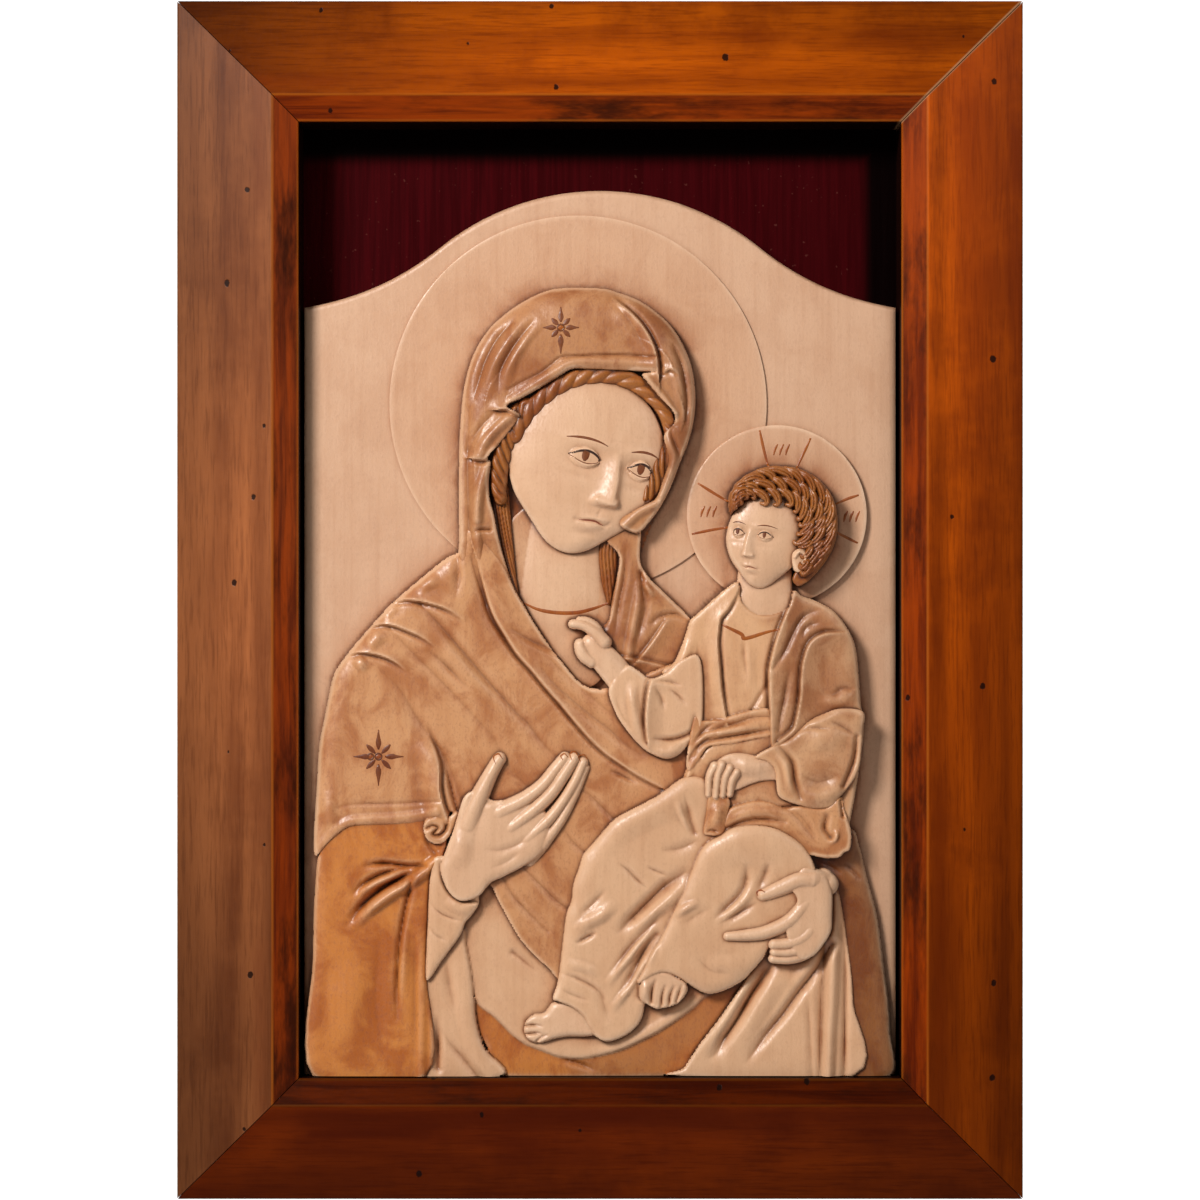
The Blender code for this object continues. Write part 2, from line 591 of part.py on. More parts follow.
def childs_legs():
    far_leg = Layer(
        "690,775,14 655,797,14 613,820,18 583,854,20 573,884,16 563,937,14 559,972,12 553,998,5 "
        "570,1004,3 583,1013,3 590,1026,3 596,1036,4 607,1041,6 635,1028,8 646,1000,8 660,950 700,880 "
        "730,830 720,790",
        12.2,
        slope=(640, 840, 0, -0.013),
        folds=[
            Ridge("574,932 602,914 616,900", 1.3, 9),
            Groove("684,872 652,898 616,934", 2.6, 11, (0.3, 1, 0)),
            Ridge("690,880 652,913 630,931", 1.3, 9),
            Ridge("657,923 623,963 606,985", 1.5, 7),
            Groove("656,934 634,972 622,995", 2.2, 9, (0.5, 1, 0)),
            Ridge("654,948 639,969 610,1011", 1.4, 7),
            Groove("683,790 687,806 694,832", 1.0, 7, (0, 1, 1)),
        ],
    )
    far_foot = Layer(
        "526,1021,5 534,1014,6 544,1012,8 553,1001,8 570,1000,8 590,1010 600,1030 590,1037,8 559,1039,8 "
        "540,1043,6 529,1040,5 524,1031,5",
        8.4,
        slope=(560, 1020, 0.02, 0),
    )
    near_leg = Layer(
        "735,826,14 705,843,18 689,874,16 672,913,12 652,952,10 638,982,4 665,971,4 692,986,12 721,991,14 "
        "753,969,12 771,944,8 800,930 815,880 806,850,8 784,832,8 761,825,8",
        14.6,
        slope=(740, 850, 0, -0.018),
        folds=[
            Ridge("708,850 735,842 770,848 795,865", 1.2, 26, (0.4, 1, 1, 0.4)),
            Groove("746,861 739,894 712,919", 1.5, 9, (0, 1, 0)),
            Groove("717,924 735,914 757,901", 1.3, 8),
            Ridge("672,915 684,908 699,900", 1.0, 7),
        ],
    )
    near_foot = Layer("642,978,3 665,971,3 686,983,5 687,991,5 672,1005,3 656,1008,3 641,999,3", 11.4, drop=1.0)
    return [far_leg, far_foot, near_leg, near_foot]


def childs_body():
    trunk = Layer(
        "738,584,4 711,602,6 690,621,8 679,652,10 662,676,6 690,720 688,760 681,785 694,832 760,850 "
        "840,850 862,745,14 857,661,16 843,623,14 816,602,10 793,592,4 786,610 760,616 742,604",
        10.8,
        folds=[
            Lap("738,592 719,629 720,671 727,722", 1.5, 16, (0.3, 1, 1, 0.8)),
            Lap("792,592 773,648 768,680 770,747", 2.0, 24, (0.5, 1, 1, 1), side=-1),
            Lap("778,741 799,696 802,661 823,634 843,633", 1.9, 22, (0.6, 1, 1, 1, 0.2)),
            Groove("772,670 795,629 822,609", 1.3, 7, (0.3, 1, 0)),
            Groove("788,672 780,716 778,732", 1.2, 7, (0.2, 1, 0.6)),
        ],
    )
    waist = Layer(
        "694,716,3 702,721,3 743,713,3 768,711,3 770,735,3 731,744,3 709,747,4 690,770,3 686,765,3", 12.3
    )
    belly = Layer("700,758 712,746 754,739 790,745 800,800 730,812 700,835 684,790", 11.6)
    lap_cloth = Layer(
        "722,828,3 728,810,4 757,801,6 800,806 839,797,4 850,830,5 837,857,3 802,852,3 775,829,3 741,828,3",
        13.4,
        folds=[
            Groove("722,831 741,822 784,821", 1.4, 6, (1, 1, 0.4)),
            Groove("770,800 790,812 818,846", 0.8, 6),
            Groove("826,816 824,828 830,838", 1.8, 6, (0.6, 1, 0.8)),
        ],
    )
    neck = Limb("766,560 764,590 762,625", (26, 28, 40), (6.6, 7.0, 7.5), (3.2, 3.4, 2.6))
    return [trunk, waist, belly, lap_cloth, neck]


def childs_arms():
    """The blessing hand and its sleeve, then the arm that holds the scroll on the knee."""
    blessing_hand = [
        Limb("624,683 600,655 592,645", (15, 14, 11), 8.2, (4.4, 4.0, 3.4)),
        Limb("592,662 585,657 580,645", (7, 7, 6), 8.2, (3.6, 3.8, 3.4)),
        Limb("604,643 583,626 573,625", (8, 5.5, 5), 8.6, (4.2, 3.6, 3.2)),
        Limb("600,638 588,623 580,621", (7, 5, 4), 8.4, (3.4, 2.6, 2.2)),
    ]
    far_arm = Layer(
        "626,667,4 650,679,8 682,660 700,660 702,720 694,735,6 681,753,8 651,754,8 626,730,8 609,688,5",
        12.6,
        folds=[
            Lap("652,676 646,705 647,741", 2.0, 18, (0.5, 1, 0.6), side=-1),
            Groove("656,739 683,737 695,712", 1.7, 7, (0.3, 1, 0)),
        ],
    )
    near_arm = Layer(
        "790,738,6 823,714,6 862,712,8 861,744,12 855,776,12 839,797,10 811,809,10 777,794,4 774,770 "
        "754,757,3 780,744,5",
        14.2,
        folds=[
            Groove("780,748 794,780 799,797", 1.8, 7, (0.5, 1, 0.6)),
            Groove("792,736 807,723 841,709", 1.0, 7, (0.4, 1, 0)),
            Groove("856,737 853,760 843,786", 1.8, 7, (0.6, 1, 0.8)),
            Groove("800,775 818,782 838,774", 1.3, 14),
        ],
    )
    scroll = Layer("708,797,3 729,799,4 724,831,5 709,835,3 703,832,4", 13.6)
    hand = Layer("704,787,4 710,769,5 734,753,6 774,762 780,778,5 748,785,5 722,792", 13.0)
    fingers = [
        Limb(f"{736 - 7.5 * k},{772 - 3 * k} {729 - 7 * k},795", (5, 4), 11.6, (3.6, 3.0)) for k in range(4)
    ]
    return [*blessing_hand, far_arm, near_arm, scroll, hand, *fingers]


def holding_hand():
    """The hand that holds the child from the right, its thumb and forefinger laid over the knee."""
    palm = Layer(
        "802,866,6 818,871,10 831,892,12 831,914,12 822,944,8 800,958,6 790,945 785,925 796,900 790,885",
        15.0,
        slope=(810, 910, 0, -0.01),
    )
    fingers = [
        Limb("810,949 797,956 772,958", (6, 5.5, 4.5), 10.6, (3.4, 3.2, 2.6)),
        Limb("812,942 798,948 774,951", (7, 6.5, 5), 11.2, (3.8, 3.6, 3.0)),
        Limb("812,932 800,938 773,943", (8, 7, 6), 11.8, (4.0, 3.8, 3.0)),
        Limb(
            "818,886 804,905 787,921 765,931 727,935",
            (12, 10, 8.5, 7.5, 5),
            (9, 10.6, 11.4, 12, 12.2),
            (4.6, 4.6, 4.4, 3.8, 2.8),
        ),
        Limb("824,882 806,879 782,886 762,894", (12, 11, 9.5, 7), (9.6, 11.4, 12, 12), (4.6, 4.6, 4.4, 3.6)),
    ]
    return [palm, *fingers]


def childs_head():
    """Face, a cap of hair, and waved locks laid evenly from the outer line of the hair to the hairline."""
    face = Head(764, 541, 38, 49, 8, -24, 10.2, 4.4, 2.2)
    cap = Layer(
        "731,514,5 730,501,6 741,483,8 758,473,10 787,469,10 814,477,10 833,498,10 837,515,10 830,544,8 "
        "817,568,6 803,580,4 798,568,4 802,548,4 799,530,4 795,514,4 784,505,4 762,505,4 748,500,4 "
        "739,507,4",
        12.4,
    )
    outer = smooth_line("731,512 740,484 773,470 812,477 835,505 832,542 811,576")
    inner = smooth_line("735,514 747,499 773,504 796,511 801,532 803,553 803,571")
    locks = []
    for k in range(CURLS):
        share = (k + 0.5) / CURLS
        (x0, y0, _), (x1, y1, _) = (line[int(share * (len(line) - 1))] for line in (outer, inner))
        bend_x, bend_y = (y1 - y0) / 4, (x0 - x1) / 4
        bend_x, bend_y = (x0 + x1) / 2 + bend_x, (y0 + y1) / 2 + bend_y
        locks.append(Limb(f"{x0},{y0} {bend_x},{bend_y} {x1},{y1}", 5.2, 12.0, 3.4))
    return [face, cap, *locks]


def crown_depth(across):
    """How far the panel's top lies under its middle: a round crown, then a hollow down to the shoulder."""
    across = np.abs(across)
    chord = math.sqrt(CROWN_RADIUS**2 - CROWN_HALF_WIDTH**2)
    at_joint = CROWN_RADIUS - chord
    run = PANEL_WIDTH / 2 - CROWN_HALF_WIDTH
    start, end = CROWN_HALF_WIDTH / chord * run, SHOULDER_SLOPE * run
    t = (across - CROWN_HALF_WIDTH) / run
    fall = (SHOULDER_DROP - at_joint) * (3 * t**2 - 2 * t**3)
    hollow = at_joint + start * (t - 2 * t**2 + t**3) + fall + end * (t**3 - t**2)
    crown = CROWN_RADIUS - np.sqrt(np.clip(CROWN_RADIUS**2 - across**2, 0, None))
    return np.where(across < CROWN_HALF_WIDTH, crown, hollow)


def carving():
    layers = [*haloes(), *lower_drapery(), *mantle(), *mothers_head(), *raised_hand(), *childs_legs()]
    return layers + [*childs_body(), *childs_arms(), *holding_hand(), *childs_head()]


def drawn_to_outlines(x, y, layers, within):
    """Points near an outline that shows are moved onto it, front layers first, for clean edges."""
    moved_x, moved_y = x.copy(), y.copy()
    covered = np.zeros(x.shape, bool)
    for layer in reversed(layers):
        inside, on, rim_x, rim_y = layer.rim(x, y, within)
        free = on & ~covered
        moved_x, moved_y = np.where(free, rim_x, moved_x), np.where(free, rim_y, moved_y)
        covered |= on | inside
    return moved_x, moved_y


def carved_height(x, y, layers):
    """Height of the carving over the ground, at places on the pattern: the highest layer shows."""
    heights = np.zeros(x.shape)
    for layer in layers:
        heights = np.maximum(heights, layer.height(x, y))
    return heights * CARVING_DEPTH / DRAWN_DEPTH


def carved_relief(collection, surface, parent):
    """A grid bent to the arched outline, raised to the carving, with straight sides and a flat back."""
    columns = round(PANEL_WIDTH / CUT_STEP)
    rows = round(PANEL_HEIGHT / CUT_STEP)
    work = bmesh.new()
    bmesh.ops.create_grid(work, x_segments=columns, y_segments=rows, size=0.5)
    work.verts.ensure_lookup_table()
    flat = np.array([vertex.co[:2] for vertex in work.verts])
    across = flat[:, 0] * PANEL_WIDTH
    up = (flat[:, 1] + 0.5) * (PANEL_HEIGHT - crown_depth(across))
    x, y = PATTERN_MIDDLE + across / SQUARE_WIDTH, PATTERN_FOOT - up / SQUARE_HEIGHT
    layers = carving()
    within = np.abs(flat).max(axis=1) < 0.5 - 0.5 / max(columns, rows)
    drawn_x, drawn_y = drawn_to_outlines(x, y, layers, RIM_REACH * CUT_STEP / SQUARE_WIDTH)
    x, y = np.where(within, drawn_x, x), np.where(within, drawn_y, y)
    height = PANEL_BACK_HEIGHT + PANEL_THICKNESS + carved_height(x, y, layers)
    foot = CLEARANCE - OPENING_HEIGHT / 2
    places = zip((x - PATTERN_MIDDLE) * SQUARE_WIDTH, -height, foot + (PATTERN_FOOT - y) * SQUARE_HEIGHT)
    for vertex, place in zip(work.verts, places):
        vertex.co = place
    rim = [edge for edge in work.edges if edge.is_boundary]
    sides = bmesh.ops.extrude_edge_only(work, edges=rim)["geom"]
    for item in sides:
        if isinstance(item, bmesh.types.BMVert):
            item.co.y = -PANEL_BACK_HEIGHT
    bmesh.ops.holes_fill(work, edges=[edge for edge in work.edges if edge.is_boundary], sides=0)
    bmesh.ops.recalc_face_normals(work, faces=work.faces)
    bmesh.ops.triangulate(work, faces=work.faces)
    mesh = bpy.data.meshes.new("carved_relief")
    work.to_mesh(mesh)
    work.free()
    made = bpy.data.objects.new("carved_relief", mesh)
    add_to_part(made, collection, surface, parent)
    facets = made.modifiers.new("facets", "DECIMATE")
    facets.ratio = FACETS_KEPT


def build():
    clear_scene()
    parts = bpy.data.collections.new("framed_icon")
    bpy.context.scene.collection.children.link(parts)
    middle = bpy.data.objects.new("frame_middle", None)
    middle.location = (0, 0, FRAME_MIDDLE)
    parts.objects.link(middle)

    stained = material("stained_wood", (0.23, 0.075, 0.02), 0.35)
    maroon = material("maroon_board", (0.04, 0.004, 0.005), 0.5)
    maple = material("pale_wood", (0.72, 0.48, 0.31), 0.4)
    quarter = math.pi / 2
    rail("frame_rail_top", FRAME_WIDTH, 0, FRAME_HEIGHT / 2, parts, stained, middle)
    rail("frame_rail_right", FRAME_HEIGHT, quarter, FRAME_WIDTH / 2, parts, stained, middle)
    rail("frame_rail_bottom", FRAME_WIDTH, 2 * quarter, FRAME_HEIGHT / 2, parts, stained, middle)
    rail("frame_rail_left", FRAME_HEIGHT, 3 * quarter, FRAME_WIDTH / 2, parts, stained, middle)
    backboard(parts, maroon, middle)
    carved_relief(parts, maple, middle)


build()
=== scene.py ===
"""Looks of the framed icon: carving as fine pieces, stains with painted light and shade, painted lines, frame
and light.

Metres, +Z up, the front towards -Y. The carving is drawn on a pattern of squares counted from its upper left
corner, with heights in millimetres over the ground of the panel.
"""

import math

import bmesh
import bpy
import numpy as np
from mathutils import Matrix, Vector


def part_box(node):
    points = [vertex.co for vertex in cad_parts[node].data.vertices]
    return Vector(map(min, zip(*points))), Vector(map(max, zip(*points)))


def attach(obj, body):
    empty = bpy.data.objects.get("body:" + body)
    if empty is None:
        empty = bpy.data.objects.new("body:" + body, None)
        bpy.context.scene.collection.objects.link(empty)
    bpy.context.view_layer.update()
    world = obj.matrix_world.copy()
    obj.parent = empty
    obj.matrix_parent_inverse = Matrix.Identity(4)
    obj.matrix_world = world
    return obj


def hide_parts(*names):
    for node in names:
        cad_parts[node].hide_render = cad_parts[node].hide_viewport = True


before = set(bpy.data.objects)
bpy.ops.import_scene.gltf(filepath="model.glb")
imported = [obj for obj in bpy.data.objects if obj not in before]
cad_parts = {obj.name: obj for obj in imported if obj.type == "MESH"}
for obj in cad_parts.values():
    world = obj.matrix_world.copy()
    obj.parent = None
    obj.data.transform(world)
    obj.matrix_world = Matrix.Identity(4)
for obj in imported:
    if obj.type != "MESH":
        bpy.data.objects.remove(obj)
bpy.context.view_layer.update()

MM = 0.001

# Pattern of the carving, in squares, and the round crown between two hollow shoulders that tops the panel
PATTERN_MIDDLE = 600
PATTERN_WIDTH = 593
PATTERN_TOP = 191
PATTERN_FOOT = 1076
CROWN_RADIUS = 255
CROWN_HALF_WIDTH = 160
SHOULDER_DROP = 117
SHOULDER_SLOPE = 0.17

# Heights of the carving: millimetres to a square, how strongly folds are cut, and what stands for no carving
SQUARE = 0.403
FOLD_DEPTH = 1.2
NOTHING = -9.0

# Faces: how far relief shifts as a head turns, then places as shares of the half width and half height
PARALLAX = 0.3
EYE_LINE = 0.07
EYE_APART = 0.385
EYE_HALF = 0.19
MOUTH_LINE = -0.598

# Sizes of the solids, for what is set against them
PANEL_THICKNESS = 15.7 * MM
SIGHT_EDGE_HEIGHT = 36 * MM
PIECE_FLOOR = 1.0 * MM

panel_low, panel_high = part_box("carved_relief")
board_low, board_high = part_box("backboard")
rail_low, rail_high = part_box("frame_rail_top")
FRAME_MIDDLE = (board_low[2] + board_high[2]) / 2
ACROSS = (panel_high[0] - panel_low[0]) / PATTERN_WIDTH
UP = (panel_high[2] - panel_low[2]) / (PATTERN_FOOT - PATTERN_TOP)
GROUND = panel_high[1] - PANEL_THICKNESS
SIGHT_EDGE = rail_high[1] - SIGHT_EDGE_HEIGHT


# Lines and distances on the pattern


def smooth_line(path, closed=False, edge=3.0):
    """Line through a row of x,y or x,y,edge points, in Catmull-Rom cubics.

    Between b and c, with a before and d after them, a share t along it is
    b + t/2 (c - a + t (2a - 5b + 4c - d + t (3b - a - 3c + d))).
    """
    p = np.array([([float(v) for v in word.split(",")] + [edge])[:3] for word in path.split()])
    p = np.vstack([p[-1], p, p[0], p[1]]) if closed else np.vstack([2 * p[0] - p[1], p, 2 * p[-1] - p[-2]])
    steps = 6
    t = np.linspace(0, 1, steps, endpoint=False)[None, :, None]
    a, b, c, d = (p[i : len(p) - 3 + i, None, :] for i in range(4))
    line = b + 0.5 * t * (c - a + t * (2 * a - 5 * b + 4 * c - d + t * (3 * b - a - 3 * c + d)))
    line = line.reshape(-1, 3)
    return line if closed else np.vstack([line, p[-2]])


def nearest(x, y, line, closed):
    """Distance from each point to a line, and the place, edge width, share of length and side found there.

    A point is held by a closed line when a level ray from it crosses the line an odd number of times.
    """
    a = line if closed else line[:-1]
    b = np.roll(line, -1, axis=0) if closed else line[1:]
    lengths = np.hypot(b[:, 0] - a[:, 0], b[:, 1] - a[:, 1])
    starts = np.cumsum(lengths) - lengths
    best = np.full(x.shape, 1e18)
    share, side, edge, near_x, near_y = (np.zeros(x.shape) for _ in range(5))
    held = np.zeros(x.shape, bool)
    for (ax, ay, ae), (bx, by, be), length, start in zip(a, b, lengths, starts):
        if length == 0:
            continue
        dx, dy = (bx - ax) / length, (by - ay) / length
        rx, ry = x - ax, y - ay
        run = np.clip(rx * dx + ry * dy, 0, length)
        distance = (rx - run * dx) ** 2 + (ry - run * dy) ** 2
        closer = np.nonzero(distance < best)[0]
        if len(closer):
            best[closer] = distance[closer]
            run = run[closer]
            share[closer] = start + run
            side[closer] = np.sign(dx * ry[closer] - dy * rx[closer])
            edge[closer] = ae + (be - ae) * run / length
            near_x[closer] = ax + run * dx
            near_y[closer] = ay + run * dy
        if closed and ay != by:
            held ^= ((ay > y) != (by > y)) & (x < (bx - ax) * (y - ay) / (by - ay) + ax)
    return {
        "distance": np.sqrt(best),
        "share": share / lengths.sum(),
        "side": side,
        "edge": edge,
        "x": near_x,
        "y": near_y,
        "held": held,
        "length": lengths.sum(),
    }


def close_to(x, y, line, reach):
    low, high = line[:, :2].min(0) - reach, line[:, :2].max(0) + reach
    return (x > low[0]) & (x < high[0]) & (y > low[1]) & (y < high[1])


def spread(values, share):
    """A row of values spread evenly along a line, read at a share of its length."""
    values = np.atleast_1d(np.asarray(values, float))
    return np.interp(share, np.linspace(0, 1, len(values)), values)


def ease(t):
    t = np.clip(t, 0, 1)
    return t * t * (3 - 2 * t)


# Cuts and folds that change a layer's height along a path


class Fold:
    """Height added near a path, fading along it. Side 1 is below a path drawn to the right."""

    def __init__(self, path, height, width, fade=(0, 1, 1, 0), side=1):
        self.line = smooth_line(path)
        self.height, self.width, self.fade, self.side = height, width, fade, side

    def add_to(self, x, y, heights):
        part = close_to(x, y, self.line, np.max(self.width) + 4)
        if part.any():
            near = nearest(x[part], y[part], self.line, False)
            width = spread(self.width, near["share"])
            shape = self.shape(near["distance"], near["side"] * self.side, width)
            heights[part] += FOLD_DEPTH * self.height * spread(self.fade, near["share"]) * shape


class Ridge(Fold):
    """Rounded: one minus the squared share of the width, squared."""

    def shape(self, distance, side, width):
        return np.clip(1 - (distance / width) ** 2, 0, 1) ** 2


class Groove(Fold):
    """Hollow that narrows to a sharp bottom."""

    def shape(self, distance, side, width):
        return -(np.clip(1 - distance / width, 0, 1) ** 1.7)


class Lap(Fold):
    """Cloth over cloth: it stands up on one side of the path, behind a narrow hollow, and thins out."""

    def shape(self, distance, side, width):
        across = distance * side
        rise = ease(across / 2.6 + 0.5) * np.clip(1 - across / width, 0, 1) ** 1.5
        hollow = np.clip(1 - np.abs(across + 2.2) / 4.5, 0, 1) ** 1.5
        return np.where(across > -1.3, rise, 0) - 0.5 * hollow


MEAN_OF_SINE = 0.64


class Strands(Fold):
    """Hair: fine ridges, a period apart along the path, that slant across it and so seem to turn about it."""

    def __init__(self, path, height, width, period, slant):
        super().__init__(path, height, width)
        self.period, self.slant = period, slant

    def add_to(self, x, y, heights):
        part = close_to(x, y, self.line, self.width)
        if part.any():
            near = nearest(x[part], y[part], self.line, False)
            across = near["distance"] * near["side"] / self.width
            phase = near["share"] * near["length"] / self.period + self.slant * across
            ridge = np.abs(np.sin(math.pi * phase)) - MEAN_OF_SINE
            heights[part] += self.height * ridge * (near["distance"] < self.width)


class Layer:
    """A raised shape with a closed outline, its edge rounded as a quarter of an ellipse.

    Its top is at the base height, plus (x - x0) across + (y - y0) down for a slope x0, y0, across, down.
    """

    def __init__(self, stain, path, base, edge=4.0, slope=None, folds=(), drop=0.5):
        self.stain = stain
        self.line = smooth_line(path, True, edge) if isinstance(path, str) else path
        self.base, self.slope, self.folds, self.drop = base, slope, folds, drop

    def reach(self):
        return self.line[:, :2].min(0), self.line[:, :2].max(0)

    def rim(self, x, y, within):
        """Points within a distance of the outline, moved onto it, and how deep the others lie inside it."""
        depth = np.full(x.shape, -1e3)
        part = close_to(x, y, self.line, within)
        near = nearest(x[part], y[part], self.line, True)
        depth[part] = np.where(near["held"], near["distance"], -near["distance"])
        on = np.zeros(x.shape, bool)
        on[part] = near["distance"] < within
        rim_x, rim_y = x.copy(), y.copy()
        rim_x[part] = np.where(on[part], near["x"], x[part])
        rim_y[part] = np.where(on[part], near["y"], y[part])
        return depth, on, rim_x, rim_y

    def height(self, x, y):
        heights = np.full(x.shape, NOTHING)
        part = close_to(x, y, self.line, 0.1)
        if not part.any():
            return heights
        x, y = x[part], y[part]
        near = nearest(x, y, self.line, True)
        top = np.full(x.shape, float(self.base))
        if self.slope:
            middle_x, middle_y, slope_x, slope_y = self.slope
            top += (x - middle_x) * slope_x + (y - middle_y) * slope_y
        for fold in self.folds:
            fold.add_to(x, y, top)
        u = 1 - np.clip(near["distance"] / near["edge"], 0, 1)
        top -= self.drop * near["edge"] * SQUARE * (1 - np.sqrt(1 - u * u))
        heights[part] = np.where(near["held"] | (near["distance"] < 0.02), top, NOTHING)
        return heights


class Disc(Layer):
    """A round raised layer."""

    def __init__(self, stain, x, y, radius, base, edge, slope=None):
        self.middle, self.radius = (x, y), radius
        turn = np.linspace(0, 2 * math.pi, 180, endpoint=False)
        rim = np.column_stack(
            [x + radius * np.cos(turn), y + radius * np.sin(turn), np.full(turn.shape, edge)]
        )
        super().__init__(stain, rim, base, slope=slope)


class Limb:
    """A rounded limb along a path, half an ellipse across. Radius, foot and rise are spread along it."""

    def __init__(self, stain, path, radius, foot, rise, folds=()):
        self.stain, self.line, self.folds = stain, smooth_line(path), folds
        self.radius, self.foot, self.rise = radius, foot, rise

    def reach(self):
        radius = np.max(self.radius)
        return self.line[:, :2].min(0) - radius, self.line[:, :2].max(0) + radius

    def rim(self, x, y, within):
        depth = np.full(x.shape, -1e3)
        part = close_to(x, y, self.line, np.max(self.radius) + within)
        near = nearest(x[part], y[part], self.line, False)
        radius = spread(self.radius, near["share"])
        depth[part] = radius - near["distance"]
        on = np.zeros(x.shape, bool)
        on[part] = np.abs(depth[part]) < within
        scale = 0.999 * radius / np.maximum(near["distance"], 1e-6)
        rim_x, rim_y = x.copy(), y.copy()
        rim_x[part] = np.where(on[part], near["x"] + (x[part] - near["x"]) * scale, x[part])
        rim_y[part] = np.where(on[part], near["y"] + (y[part] - near["y"]) * scale, y[part])
        return depth, on, rim_x, rim_y

    def height(self, x, y):
        heights = np.full(x.shape, NOTHING)
        part = close_to(x, y, self.line, np.max(self.radius))
        if part.any():
            x, y = x[part], y[part]
            near = nearest(x, y, self.line, False)
            u = near["distance"] / spread(self.radius, near["share"])
            crown = np.sqrt(np.clip(1 - u * u, 0, 1))
            top = spread(self.foot, near["share"]) + spread(self.rise, near["share"]) * crown
            for fold in self.folds:
                fold.add_to(x, y, top)
            heights[part] = np.where(u <= 1, top, NOTHING)
        return heights


def lip_wave(across):
    """How far the line of the mouth lies over its mean: highest in the middle."""
    return 0.012 * np.cos(14 * across)


def lock_of_hair(path, radius, foot, rise, period, slant, depth):
    return Limb(
        "hair", path, radius, foot, rise, [Strands(path, depth, np.max(radius) * 1.05, period, slant)]
    )


